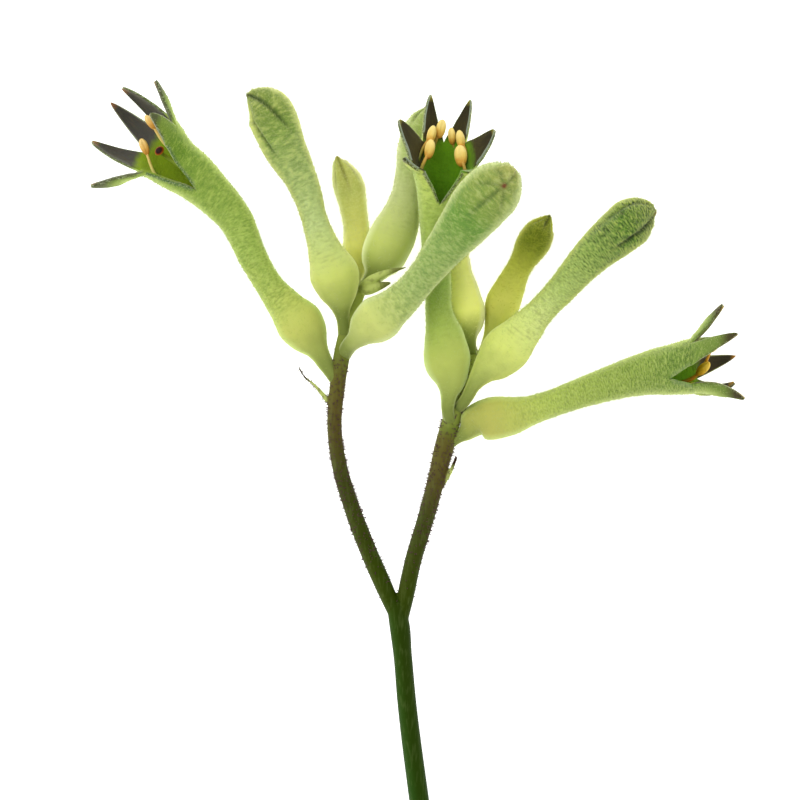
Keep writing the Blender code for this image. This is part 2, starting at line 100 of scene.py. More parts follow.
STALK = (
    (1.9, -60.1, 1.4, 1.53), (0.3, -48.6, 2.5, 1.52), (-1.6, -33.3, 4.6, 1.45), (-2.2, -26.4, 5.9, 1.42),
    (-2.8, -21.1, 6.9, 1.52), (-3.4, -18.5, 7.4, 1.25),
)
LEFT_BRANCH = (
    (-2.7, -21.6, 6.8, 0.95), (-4.4, -17.4, 7.6, 1.26), (-7.3, -10.7, 8.8, 1.3), (-9.8, -4.1, 9.8, 1.23),
    (-11.7, 2.4, 10.7, 1.15), (-12.4, 7.9, 11.2, 1.1), (-12.0, 13.9, 11.6, 1.17),
    (-11.3, 18.8, 11.6, 1.25), (-10.2, 23.8, 11.2, 1.1), (-9.0, 27.4, 10.8, 0.95), (-7.8, 29.8, 10.2, 0.7),
)
RIGHT_BRANCH = (
    (-2.7, -22.6, 6.6, 0.95), (-1.8, -17.7, 7.4, 1.26), (-0.6, -12.0, 8.4, 1.28), (1.2, -5.9, 9.4, 1.28),
    (2.9, 0.4, 10.2, 1.33), (4.2, 5.7, 10.7, 1.48), (5.4, 9.9, 10.4, 1.35), (7.0, 13.9, 9.6, 1.1),
    (7.9, 17.8, 8.9, 0.95), (8.5, 20.0, 8.6, 0.7),
)
BRANCHES = (STALK, LEFT_BRANCH, RIGHT_BRANCH)
BRACTS = (
    (
        (-12.1, 10.4, 11.4, 0.5), (-14.3, 13.1, 11.7, 0.36), (-15.5, 14.45, 11.95, 0.24),
        (-16.9, 15.6, 12.2, 0.19), (-17.7, 17.0, 12.4, 0.17),
    ),
    ((3.4, -1.2, 10.2, 0.4), (5.0, 1.5, 11.2, 0.34), (5.9, 3.7, 11.8, 0.22)),
    ((-8.6, 28.2, 10.6, 0.5), (-7.0, 28.6, 12.4, 0.75), (-5.0, 29.3, 12.9, 0.5), (-3.9, 29.6, 12.9, 0.16)),
    ((-8.8, 28.8, 10.6, 0.5), (-6.6, 30.2, 12.9, 0.7), (-3.6, 31.4, 13.4, 0.4), (-1.6, 31.9, 13.5, 0.12)),
)

# Closed buds: foot, pedicel, ovary, neck, club and tip

BUDS = {
    "bud_left_tall": (
        (-10.8, 22.0, 11.5, 1.1), (-11.3, 25.2, 12.2, 1.2), (-11.7, 27.7, 12.6, 2.75),
        (-12.4, 30.8, 12.8, 3.7), (-13.7, 34.2, 12.9, 2.65), (-15.1, 38.2, 12.9, 1.95),
        (-16.8, 43.8, 12.7, 2.28), (-20.1, 50.4, 12.4, 3.3), (-21.4, 53.6, 12.3, 3.6),
        (-22.3, 55.4, 12.2, 3.5), (-23.4, 56.5, 12.1, 2.85), (-24.5, 57.2, 12.0, 1.85),
        (-25.3, 57.6, 12.0, 0.95), (-25.8, 57.8, 12.0, 0.0),
    ),
    "bud_left_small": (
        (-9.0, 27.6, 10.6, 0.65), (-9.5, 28.9, 8.3, 0.85), (-9.3, 31.4, 5.3, 1.6), (-9.0, 34.2, 3.8, 2.45),
        (-9.2, 37.7, 3.5, 1.95), (-9.8, 42.0, 3.5, 2.1), (-10.4, 44.6, 3.5, 2.35),
        (-11.4, 47.2, 3.5, 1.65), (-12.0, 48.5, 3.5, 0.85), (-12.2, 49.2, 3.5, 0.0),
    ),
    "bud_left_back": (
        (-7.7, 29.5, 10.1, 0.67), (-6.5, 30.9, 9.5, 1.65), (-5.7, 32.6, 9.1, 2.95), (-4.6, 34.9, 8.7, 3.5),
        (-3.5, 37.2, 8.3, 3.45), (-2.4, 39.9, 7.7, 2.9), (-1.6, 43.0, 6.7, 2.3), (-0.8, 46.2, 5.2, 2.49),
        (0.2, 50.6, 3.8, 3.07), (0.8, 53.5, 3.5, 2.7), (1.2, 56.0, 3.4, 1.14), (1.3, 56.8, 3.4, 0.0),
    ),
    "bud_left_front": (
        (-11.0, 18.9, 11.5, 1.1), (-10.1, 20.3, 13.2, 1.25), (-9.0, 21.3, 14.5, 1.55),
        (-7.8, 22.6, 15.3, 2.7), (-6.0, 24.0, 15.9, 3.45), (-3.4, 26.0, 16.5, 2.8),
        (-0.7, 28.6, 17.0, 2.37), (4.0, 34.5, 18.0, 2.98), (6.5, 37.6, 18.8, 3.65), (9.4, 41.2, 19.9, 4.3),
        (11.8, 43.6, 20.7, 4.0), (13.1, 44.9, 21.2, 3.0), (13.9, 45.7, 21.4, 1.8), (14.3, 46.1, 21.5, 0.9),
        (14.4, 46.2, 21.5, 0.0),
    ),
    "bud_right_back": (
        (8.2, 19.5, 9.0, 0.68), (7.9, 21.4, 8.5, 1.1), (7.6, 23.1, 7.8, 2.4), (7.2, 25.1, 7.2, 3.1),
        (6.8, 28.0, 6.5, 2.7), (6.2, 31.5, 5.8, 2.05), (5.7, 36.3, 5.1, 2.05), (6.0, 43.0, 4.2, 2.65),
        (6.0, 45.4, 4.0, 2.3), (6.0, 47.4, 3.9, 0.91), (6.0, 48.0, 3.9, 0.0),
    ),
    "bud_right_small": (
        (7.6, 16.6, 9.2, 0.68), (9.2, 18.0, 7.8, 0.9), (11.0, 20.9, 6.7, 1.2), (12.1, 23.6, 6.2, 2.0),
        (12.9, 26.5, 5.3, 2.62), (14.3, 29.75, 5.0, 2.2), (15.55, 32.35, 4.7, 1.85),
        (17.9, 36.4, 4.3, 2.5), (18.8, 38.0, 4.2, 2.1), (19.6, 39.3, 4.2, 1.2), (20.1, 40.1, 4.2, 0.4),
        (20.2, 40.3, 4.2, 0.0),
    ),
    "bud_right_long": (
        (6.1, 10.9, 10.7, 0.8), (7.3, 12.3, 12.8, 0.92), (8.4, 14.3, 13.3, 1.1), (9.9, 16.3, 13.2, 1.95),
        (11.5, 17.8, 13.0, 3.05), (13.2, 19.6, 12.8, 3.55), (15.7, 22.3, 12.6, 2.85),
        (18.3, 25.2, 12.3, 2.1), (21.2, 28.3, 12.3, 2.17), (26.4, 34.0, 12.6, 2.93),
        (30.4, 37.4, 12.7, 3.52), (32.3, 38.9, 12.7, 3.55), (34.2, 39.8, 12.7, 2.55),
        (35.4, 40.1, 12.7, 1.2), (35.9, 40.1, 12.7, 0.0),
    ),
}

# Open flowers: the axis up to the mouth, the row where the slit starts, the slit's bearing and width at the
# mouth in turns, and how far the wall leans ahead. A lobe's fourth number is how far it bows outwards, as a
# share of its length. Twists are in turns, and greens say how far each inner side is green in millimetres

OPEN_FLOWERS = {
    "flower_left_open": {
        "axis": (
            (-11.9, 14.6, 11.6, 0.85), (-13.4, 17.0, 11.6, 1.12), (-14.9, 19.5, 11.5, 1.7),
            (-16.2, 21.5, 11.4, 3.0), (-17.5, 23.4, 11.3, 3.58), (-19.4, 25.75, 11.1, 2.87),
            (-21.8, 28.7, 10.6, 2.15), (-24.7, 33.55, 9.8, 2.15), (-27.2, 39.0, 8.9, 2.55),
            (-31.7, 44.0, 7.8, 3.24), (-33.8, 45.9, 7.3, 3.72), (-35.8, 47.4, 6.9, 4.2),
            (-37.4, 48.8, 6.7, 4.85),
        ),
        "slit_row": 9, "slit_turn": 0.93, "slit_width": 0.2, "lean": (4.0, 0.0, 1.0),
        "twists": (0.0, -0.04, 0.0, 0.0, 0.0, 0.09), "greens": (0.0, 0.3, 0.3, 0.0, 1.2, 0.6),
        "tips": (
            (-39.9, 55.0, 12.2, 0.12), (-39.2, 60.3, 8.0, 0.05), (-44.6, 59.6, 3.6, 0.1),
            (-46.8, 57.5, -0.1, 0.1), (-49.6, 51.2, 1.4, 0.1), (-49.2, 44.1, 7.2, 0.06),
        ),
        "anthers": (
            (-35.95, 50.2, 8.0, -34.9, 48.0, 7.6), (-35.2, 50.6, 6.8, -34.0, 48.2, 6.4),
            (-40.2, 53.9, 5.4, -37.6, 50.4, 5.6), (-41.2, 50.2, 5.0, -39.2, 45.6, 5.6),
            (-36.6, 50.2, 5.2, -34.4, 47.6, 5.4), (-36.0, 48.8, 6.0, -34.0, 46.6, 6.2),
        ),
        "bulks": (0.85, 0.8, 0.8, 0.85, 0.8, 0.8),
        "style": ((-33.8, 45.9, 7.3), (-38.4, 49.2, 6.0), (-38.8, 49.6, 8.0)),
    },
    "flower_right_facing": {
        "axis": (
            (5.2, 8.4, 10.8, 0.8), (4.5, 10.8, 12.1, 0.97), (4.7, 12.7, 12.4, 1.25),
            (4.9, 14.6, 12.5, 2.25), (4.5, 17.6, 12.4, 3.45), (4.1, 21.1, 12.0, 3.05),
            (3.3, 25.0, 11.5, 2.08), (3.1, 29.2, 11.2, 1.95), (2.9, 34.0, 11.0, 2.15),
            (3.1, 38.4, 11.1, 2.75), (3.4, 41.6, 11.5, 3.37), (3.7, 44.0, 11.9, 3.97),
            (3.8, 46.2, 12.3, 4.6),
        ),
        "slit_row": 9.9, "slit_turn": 0.0, "slit_width": 0.22, "lean": (3.7, 0.4, 0.85),
        "twists": (0.0, 0.0, 0.0, 0.0, 0.0, 0.0), "greens": (0.3, 0.2, 0.6, 0.3, -2.0, -0.8),
        "tips": (
            (12.6, 44.6, 14.2, 0.12), (11.8, 52.4, 10.6, 0.08), (8.1, 57.3, 8.2, 0.12),
            (1.9, 58.1, 8.2, 0.12), (-3.0, 53.9, 10.4, -0.02), (-2.2, 47.8, 18.8, 0.12),
        ),
        "anthers": (
            (6.5, 48.4, 11.6), (6.5, 50.9, 10.6), (5.2, 51.5, 9.6), (3.5, 52.6, 9.5), (2.05, 51.6, 10.4),
            (1.8, 49.4, 11.6),
        ),
        "bulks": (1.25, 0.95, 0.8, 0.95, 1.0, 1.05),
        "style": ((3.0, 40.0, 10.6), (2.2, 42.0, 10.4), (0.9, 44.4, 10.2)),
    },
    "flower_right_side": {
        "axis": (
            (4.7, 5.4, 10.7, 0.75), (6.3, 6.6, 10.8, 0.95), (7.4, 7.4, 10.8, 1.45), (8.6, 8.7, 10.8, 2.5),
            (11.0, 9.3, 10.8, 3.2), (14.0, 9.7, 10.7, 2.9), (16.9, 10.5, 10.6, 2.25),
            (19.9, 11.5, 10.4, 2.02), (23.6, 12.8, 10.0, 2.17), (29.3, 14.7, 9.1, 2.62),
            (35.0, 16.2, 8.2, 3.31), (37.7, 16.6, 7.8, 3.76), (40.2, 17.0, 7.5, 4.2),
        ),
        "slit_row": 10.7, "slit_turn": 0.06, "slit_width": 0.13, "lean": (2.4, 0.0, 1.0),
        "twists": (-0.1, 0.0, 0.0, 0.0, 0.05, 0.0), "greens": (0.3, 0.3, 0.0, 0.0, 0.0, 0.3),
        "tips": (
            (48.9, 12.1, 10.6, -0.2), (48.2, 14.5, 4.4, 0.28), (48.6, 18.8, -0.1, 0.12),
            (46.5, 21.5, 3.6, 0.05), (45.8, 26.6, 8.6, 0.0), (47.8, 22.1, 12.8, 0.05),
        ),
        "anthers": (
            (41.4, 13.95, 5.6, 39.4, 13.9, 6.0), (41.6, 13.9, 4.8, 39.6, 13.8, 5.2),
            (43.0, 16.7, 6.4, 41.7, 15.4, 5.4), (42.6, 19.9, 5.4), (42.8, 20.3, 7.0),
            (44.6, 20.3, 8.2, 41.9, 15.6, 5.6),
        ),
        "style": ((36.5, 16.4, 8.0), (38.6, 17.4, 7.6), (42.0, 20.2, 6.0)),
    },
}

# What each flower looks like. Tissue: its colours from the ovary up to the club's end. Side highlight: the
# colour of the painted highlight along its sides and on its ridges' tops. Crease shade: the colour of the
# painted shade in its furrows and wrinkles, darker still along the seams. Ridges: how strongly the felt
# stands in
# wrinkles. Bite: how strongly they are coloured, with painted shade in their valleys and painted highlight on
# their tops. Rise: the place and strength where they start. Weave: how fine they are, and how much finer
# lengthwise. Ripple: the depth of the coarse ripples in millimetres. Seam: the bearing of the first seam in
# turns. Furrows: how far the seams run from the apex in millimetres. Seams, instead of both: each seam's
# bearing, strength and length. Mark: how strongly the darker painted shade lies in the seams and wrinkles.
# Seam spread: how much wider. Blunt: how near to the tip they start. Pole and tip: the line that they lie
# round.
# Open flowers. Lobe: the inner side's colours at its root and middle, and of its streaks. Outer: the outer
# side's colour, from outer_from of its length. Edge shade: colour, width and strength of the painted shade
# along the slit's edges on the outer side, which gives way to the lobes' own dark edges. Edge highlight:
# colour and strength of the painted highlight along the inner side's edges. Sac and thread: the anthers' and
# filaments' colours, root to top

LOOKS = {
    "bud_left_tall": {
        "tissue": ("#C2CC69", "#BECF86", "#879F4A", "#7F8B3C"), "side_highlight": "#D6DD7F", "crease_shade": "#4E6E26",
        "hair": "#BECA7F", "ridges": 0.65, "ripple": 0.05,
        "seams": (
            (0.05, 1.7, 11.0), (-0.15, 1.7, 13.0), (0.21, 0.3, 5.0), (0.38, 0.5, 5.0), (-0.32, 0.5, 5.0),
            (-0.46, 0.5, 5.0),
        ),
        "apex": "#4A3A10", "weave": (1.0, 2.4),
    },
    "bud_left_small": {
        "tissue": ("#DFDD77", "#E0DF80", "#BDC26A", "#B2B45B"), "side_highlight": "#EBEDAA", "crease_shade": "#8C8C34",
        "hair": "#E5E799", "ridges": 0.2, "ripple": 0.02, "seam": 0.0, "furrows": 7.0, "apex": "#8A7A2C",
        "weave": (1.0, 1.8), "mark": 0.5, "blunt": 0.1,
    },
    "bud_left_back": {
        "tissue": ("#BBC669", "#B7C080", "#AABA6F", "#9DAE59"), "side_highlight": "#DAE1A5", "crease_shade": "#7E9440",
        "hair": "#C7D190", "ridges": 0.4, "ripple": 0.03, "seam": 0.05, "furrows": 5.0, "apex": "#7A7A2C",
        "weave": (1.2, 1.6),
    },
    "bud_left_front": {
        "tissue": ("#C4CC74", "#A7BB6D", "#6F9639", "#B0AD5D"), "side_highlight": "#C8D48D", "crease_shade": "#4E7A38",
        "hair": "#B4C470", "ridges": 0.5, "ripple": 0.05,
        "seams": (
            (0.02, 1.3, 8.0), (0.187, 0.9, 5.0), (0.353, 0.5, 5.0), (0.52, 1.0, 5.0), (-0.313, 1.0, 5.0),
            (-0.147, 0.9, 5.5),
        ),
        "seam_spread": 1.3, "mark": 0.45, "apex": "#6E2A1C", "tip": (12.8, 43.5, 24.4),
        "weave": (1.3, 2.0), "bite": 1.2, "rise": (0.32, 0.9),
    },
    "bud_right_back": {
        "tissue": ("#ECEF82", "#E8EB8A", "#C9D56B", "#B9C14C"), "side_highlight": "#EBEDBA", "crease_shade": "#7E8E34",
        "hair": "#F9FA9F", "ridges": 0.2, "ripple": 0.02, "seam": 0.0, "furrows": 4.0, "apex": "#7A7A2C",
        "weave": (0.8, 1.6),
    },
    "bud_right_small": {
        "tissue": ("#D7D668", "#C1C54E", "#7B8719", "#717C0F"), "side_highlight": "#C3C548", "crease_shade": "#55600E",
        "hair": "#C1C550", "ridges": 0.5, "ripple": 0.03, "seam": 0.02, "furrows": 4.0, "apex": "#4E4A10",
        "weave": (1.4, 2.2),
    },
    "bud_right_long": {
        "tissue": ("#CFD972", "#D4E28C", "#70A230", "#808A38"), "side_highlight": "#CAD369", "crease_shade": "#28420C",
        "hair": "#BCCE70", "ridges": 1.2, "ripple": 0.05,
        "seams": (
            (0.06, 1.4, 11.0), (-0.15, 0.7, 11.0), (0.27, 0.5, 5.0), (0.43, 0.5, 5.0), (-0.3, 0.5, 5.0),
            (-0.43, 0.5, 5.0),
        ),
        "mark": 0.95, "apex": "#A8781C", "weave": (1.6, 4.0), "bite": 1.35, "rise": (0.5, 0.35),
        "pole": (26.4, 34.0, 12.6),
    },
    "flower_left_open": {
        "tissue": ("#BBC160", "#A2B958", "#688822", "#718531"), "side_highlight": "#BED16A", "crease_shade": "#567A26",
        "hair": "#ABC05E", "ridges": 0.4, "ripple": 0.03, "lobe": ("#4C4A44", "#38362E", "#5C4C34"),
        "lobe_tip": "#8A5A30", "outer": "#464A2C", "outer_from": 0.55, "throat": "#819B0F",
        "sac": ("#C48428", "#D69C40", "#E2B45C", "#EAC87C"), "edge_shade": ("#3E5A38", 0.65, 0.8),
        "weave": (1.4, 2.6), "bite": 1.7, "rise": (0.3, 1.0), "thread": ("#A8B848", "#D8CC70", "#E0B860"),
        "rim": ("#8C8C7C", 0.3),
    },
    "flower_right_facing": {
        "tissue": ("#AFBB5B", "#8DAB49", "#C3D36B", "#D8DE72"), "side_highlight": "#C1D47F", "crease_shade": "#557A30",
        "hair": "#BDD076", "ridges": 0.5, "ripple": 0.03, "lobe": ("#3A3410", "#2A240C", "#4A441C"),
        "lobe_tip": "#8C8230", "outer": "#2E3018", "outer_from": 0.6, "throat": "#5A8A00",
        "sac": ("#C07C20", "#D8A440", "#E8C864", "#F0D880"), "edge_shade": ("#2A301C", 0.42, 0.85),
        "weave": (1.2, 1.6), "thread": ("#4C6C10", "#8C7C20", "#D8A040"), "rim": ("#94A08C", 0.75),
    },
    "flower_right_side": {
        "tissue": ("#B4B559", "#BBCD62", "#84A046", "#687C32"), "side_highlight": "#C3D373", "crease_shade": "#4A6A24",
        "hair": "#BAC97A", "ridges": 0.7, "ripple": 0.04, "lobe": ("#40381C", "#2C2812", "#3A2C14"),
        "lobe_tip": "#B07A24", "outer": "#3C3018", "outer_from": 0.6, "throat": "#78AC10",
        "sac": ("#C88814", "#E0A818", "#E8B818", "#ECC840"), "edge_shade": ("#84986A", 0.8, 0.4),
        "weave": (1.9, 3.2), "bite": 1.55, "rise": (0.36, 0.5),
        "thread": ("#3E6A0C", "#C8880C", "#D09818"), "rim": ("#8C8440", 0.3),
    },
}


class FlowerSkin(bpy.types.PropertyGroup):
    """Sizes of the felted outside of the flowers."""

    spacing: FloatProperty(
        name="Ring spacing", description="Distance between a skin's rings", default=0.00027, **LENGTH
    )
    columns: IntProperty(
        name="Columns", description="Faces round a skin, a multiple of twelve", default=72, min=24
    )
    wall: FloatProperty(
        name="Wall", description="Thickness of an open flower's wall", default=0.0006, **LENGTH
    )
    foot: FloatProperty(
        name="Foot", description="How far a flower's foot reaches into its branch", default=0.0007, **LENGTH
    )
    seam_depth: FloatProperty(
        name="Seam depth", description="Depth of the furrows between a bud's lobes", default=0.00034, **LENGTH
    )
    seam_width: FloatProperty(
        name="Seam width", description="Width of those furrows", default=0.0003, **LENGTH
    )
    ripple_length: FloatProperty(
        name="Ripple length", description="Distance between crosswise ripples", default=0.00075, **LENGTH
    )


class FlowerHairs(bpy.types.PropertyGroup):
    """Sizes of the short hairs that make the felt."""

    length: FloatProperty(
        name="Hair length", description="Length of a hair on a flower", default=0.0005, **LENGTH
    )
    width: FloatProperty(
        name="Hair width", description="A hair's width at its root", default=0.00006, **LENGTH
    )
    share: FloatProperty(
        name="Cover", description="Share of a skin's faces that grow a hair",
        default=0.72, subtype="FACTOR", min=0.0, max=1.0,
    )


class FlowerStamens(bpy.types.PropertyGroup):
    """Sizes of the stamens and the style."""

    anther_length: FloatProperty(
        name="Anther length", description="Length of a pollen sac", default=0.003, **LENGTH
    )
    anther_width: FloatProperty(
        name="Anther width", description="Width of a pollen sac", default=0.00155, **LENGTH
    )
    filament: FloatProperty(
        name="Filament width", description="Width of the thread under a pollen sac", default=0.00055, **LENGTH
    )


class FlowerStem(bpy.types.PropertyGroup):
    """Sizes of the stem's surface."""

    voxel: FloatProperty(
        name="Grain", description="Cells that join the branches as one skin", default=0.00017, **LENGTH
    )
    bristle: FloatProperty(
        name="Bristle length", description="Length of the branches' purple hairs", default=0.0005, **LENGTH
    )


class FlowerStage(bpy.types.PropertyGroup):
    """The floor and the light."""

    floor_size: FloatProperty(name="Floor", description="Length of the floor's side", default=3.0, **LENGTH)
    key: FloatProperty(
        name="Key light", description="Power of the large soft light", default=3.0, unit="POWER"
    )
    sky: FloatProperty(name="Sky", description="Strength of the light all round", default=0.85)


def linear(text):
    """An sRGB hex colour as linear red, green, blue and alpha."""
    parts = [int(text[at : at + 2], 16) / 255 for at in (1, 3, 5)]
    return (*(c / 12.92 if c <= 0.04045 else ((c + 0.055) / 1.055) ** 2.4 for c in parts), 1.0)


def fill(tree, made, inputs):
    """Sets a node's inputs straight on their sockets: links, values or hex colours."""
    for socket, value in dict(inputs).items():
        if isinstance(value, bpy.types.NodeSocket):
            tree.links.new(value, made.inputs[socket])
        else:
            made.inputs[socket].default_value = linear(value) if isinstance(value, str) else value


def node(tree, kind, inputs=(), stops=(), out=0, **settings):
    """Adds a node with its settings, its ramp's stops and its inputs, and gives one of its outputs."""
    made = tree.nodes.new("ShaderNode" + kind)
    for key, value in settings.items():
        setattr(made, key, value)
    for index, (place, value) in enumerate(stops):
        steps = made.color_ramp.elements
        step = steps[index] if index < 2 else steps.new(place)
        step.position = place
        step.color = linear(value) if isinstance(value, str) else (value, value, value, 1.0)
    fill(tree, made, inputs)
    return made.outputs[out]


def new_material(name):
    """A material with an empty surface, what adds its nodes, and its object coordinates."""
    made = bpy.data.materials.new(name)
    made.use_nodes = True
    add = partial(node, made.node_tree)
    return made, add, add("TexCoord", out="Object")


def surfaced(made, **inputs):
    """The material with its shader's inputs filled, which are named with _ for a space."""
    tree = made.node_tree
    named = {socket.replace("_", " "): value for socket, value in inputs.items()}
    fill(tree, tree.nodes["Principled BSDF"], named)
    return made


def felted_tissue(name, look):
    """Living tepal tissue under felt: matt and soft, translucent and yellow-green where young, with fine
    crosswise ridges that have painted shade in their valleys and painted highlight on their tops, painted
    shade in its furrows, paler sides that are a painted highlight, and a pale velvet sheen at grazing angles.
    An open flower's inner side is bare, smoother and darker."""
    made, add, place = new_material(name)
    along, crease_shade, side_highlight = (
        add("Attribute", attribute_name=mark, out="Fac") for mark in ("along", "crease_shade", "side_highlight")
    )
    felt = add("Attribute", attribute_name="felt", out="Vector")
    patch = add("TexNoise", {"Vector": place, "Scale": 380.0, "Detail": 3.0})
    grain = add("TexNoise", {"Vector": place, "Scale": 3800.0, "Detail": 2.0})
    wander = add("Math", {0: patch, 1: 0.08, 2: -0.04}, **SUM_OF_PRODUCT)
    height = add("Math", {0: along, 1: wander}, operation="ADD")
    scale, stretch = look["weave"]
    drawn = add("VectorMath", {0: felt, 1: (1.0, 1.0, stretch)}, **PRODUCT)
    ridge = add("TexNoise", {"Vector": drawn, "Scale": scale, "Detail": 3.0, "Roughness": 0.6})
    strength = add("ValToRGB", {0: along}, ((0.22, 0.05), look.get("rise", (0.42, 0.4)), (0.66, 1.0)))
    weaker = [look["ridges"], add("ValToRGB", {0: side_highlight}, ((0.4, 1.0), (0.9, 0.3)))]
    if "lobe" in look:
        reach, inside, brink, shadow = (
            add("Attribute", attribute_name=mark, out="Fac") for mark in ("reach", "inside", "brink", "dusk")
        )
        weaker.append(add("ValToRGB", {0: reach}, ((0.0, 1.0), (0.35, 0.15))))
    for share in weaker:
        strength = add("Math", {0: strength, 1: share}, **PRODUCT)
    bands = []
    for stops, depth in ((((0.34, 1.0), (0.55, 0.0)), 0.72), (((0.52, 0.0), (0.66, 1.0)), 0.55)):
        band = add("ValToRGB", {0: ridge}, stops)
        for share in (strength, depth * look.get("bite", 1.0)):
            band = add("Math", {0: band, 1: share}, **PRODUCT)
        bands.append(band)
    valley_shade, crest_highlight = bands
    layers = [
        # Painted highlight: the sides paler, as if lit along the edge
        (add("ValToRGB", {0: side_highlight}, ((0.28, 0.0), (0.72, 0.92))), look["side_highlight"]),
        (add("ValToRGB", {0: along}, ((0.0, 0.75), (0.1, 0.0))), "#6A742E"),
        # Painted shade in the ridges' valleys, and painted highlight on their tops
        (valley_shade, look["crease_shade"]),
        (crest_highlight, look["side_highlight"]),
        # Painted shade, darker still, in the furrows, wrinkles and seams
        (
            add("Math", {0: crease_shade, 1: look.get("mark", 0.8)}, **PRODUCT),
            (*(part * 0.55 for part in linear(look["crease_shade"])[:3]), 1.0),
        ),
    ]
    if "apex" in look:
        layers.append((add("Attribute", attribute_name="apex", out="Fac"), look["apex"]))
    if "lobe" in look:
        streaks = add("VectorMath", {0: felt, 1: (3.5, 3.5, 0.5)}, **PRODUCT)
        streak = add("TexNoise", {"Vector": streaks, "Scale": 1.0, "Detail": 2.0})
        root, middle, edge = look["lobe"]
        # Painted highlight along the inner side's edges, and painted shade along the slit's edges on the
        # outer side
        rim, rim_share = look["rim"]
        border, _, edge_shade_share = look["edge_shade"]
        stops = ((0.1, root), (0.7, middle), (0.84, middle), (0.98, look["lobe_tip"]))
        inner = add("ValToRGB", {0: reach}, stops)
        for mark, stops, over in (
            (streak, ((0.5, 0.0), (0.75, 0.4)), edge),
            (brink, ((0.72, 0.0), (0.92, rim_share)), rim),
        ):
            inner = add("Mix", {0: add("ValToRGB", {0: mark}, stops), 6: inner, 7: over}, **COLOURS)
        inner = add("Mix", {0: shadow, 6: look["throat"], 7: inner}, **COLOURS)
        # Painted shade at the slit's edges, turning into the lobes' own dark outer colour on their edges,
        # with pale flecks of felt
        edges = add("ValToRGB", {0: reach}, ((0.0, border), (0.2, look["outer"])))
        flecks = add("ValToRGB", {0: grain}, ((0.5, 0.0), (0.6, 0.7)))
        edges = add("Mix", {0: flecks, 6: edges, 7: "#A8B08C"}, **COLOURS)
        start = look["outer_from"]
        layers += [
            (add("ValToRGB", {0: reach}, ((start, 0.0), (start + 0.22, 0.92))), look["outer"]),
            (add("ValToRGB", {0: brink}, ((0.3, 0.0), (0.95, edge_shade_share))), edges),
            (add("ValToRGB", {0: inside}, ((0.4, 0.0), (0.8, 1.0))), inner),
        ]
    colour = add("ValToRGB", {0: height}, zip((0.05, 0.2, 0.4, 0.72, 0.97), ("#839144", *look["tissue"])))
    for share, over in layers:
        colour = add("Mix", {0: share, 6: colour, 7: over}, **COLOURS)
    fine = add("Bump", {"Height": grain, "Strength": 0.3, "Distance": 0.00005})
    bump = add("Bump", {"Height": ridge, "Strength": strength, "Distance": 0.0005, "Normal": fine})
    return surfaced(
        made, Base_Color=colour, Normal=bump, Roughness=0.75, IOR=1.42, Specular_IOR_Level=0.25,
        Sheen_Weight=0.5, Sheen_Roughness=0.4, Sheen_Tint="#E4E6C4",
        Subsurface_Weight=0.3, Subsurface_Radius=(0.75, 1.0, 0.4), Subsurface_Scale=0.0012,
    )


def plant_hair(name, colour):
    """Dead, air-filled plant hair: pale, matt, and a little translucent."""
    made, add, place = new_material(name)
    shade = add("TexNoise", {"Vector": place, "Scale": 900.0, "Detail": 1.0})
    low = (*(part * 0.7 for part in linear(colour)[:3]), 1.0)
    mixed = add("Mix", {0: shade, 6: low, 7: colour}, **COLOURS)
    return surfaced(made, Base_Color=mixed, Roughness=0.8, IOR=1.45, Specular_IOR_Level=0.1)


def pollen_sac(name, colours):
    """A ripe pollen sac: waxy skin, pale above and orange at its root, with a fine mealy grain."""
    made, add, place = new_material(name)
    along = add("Attribute", attribute_name="along", out="Fac")
    blotch = add("TexNoise", {"Vector": place, "Scale": 900.0, "Detail": 3.0})
    grain = add("TexVoronoi", {"Vector": place, "Scale": 6000.0}, out="Distance")
    height = add("Math", {0: blotch, 1: 0.5, 2: along}, **SUM_OF_PRODUCT)
    base = add("ValToRGB", {0: height}, zip((0.3, 0.5, 0.75, 1.0), colours))
    bump = add("Bump", {"Height": grain, "Strength": 0.5, "Distance": 0.00006})
    return surfaced(
        made, Base_Color=base, Normal=bump, Roughness=0.6, Specular_IOR_Level=0.3,
        Subsurface_Weight=0.1, Subsurface_Radius=(0.5, 0.4, 0.2), Subsurface_Scale=0.0004,
    )


def filament_tissue(name, colours):
    """Smooth juicy thread, from its root's colour to the one under the sac."""
    made, add, place = new_material(name)
    along = add("Attribute", attribute_name="along", out="Fac")
    blotch = add("TexNoise", {"Vector": place, "Scale": 500.0})
    height = add("Math", {0: blotch, 1: 0.3, 2: along}, **SUM_OF_PRODUCT)
    base = add("ValToRGB", {0: height}, zip((0.1, 0.6, 1.0), colours))
    return surfaced(made, Base_Color=base, Roughness=0.42, IOR=1.42)


def stigma_tissue():
    """The style's tip: wet dark red tissue with an orange ring below it."""
    made, add, place = new_material("stigma_tissue")
    along = add("Attribute", attribute_name="along", out="Fac")
    blotch = add("TexNoise", {"Vector": place, "Scale": 900.0})
    height = add("Math", {0: blotch, 1: 0.03, 2: along}, **SUM_OF_PRODUCT)
    colours = ("#7C9A30", "#90A030", "#C07C1C", "#8A3A0C", "#280604")
    base = add("ValToRGB", {0: height}, zip((0.3, 0.87, 0.92, 0.96, 0.98), colours))
    return surfaced(made, Base_Color=base, Roughness=0.5, Specular_IOR_Level=0.15)


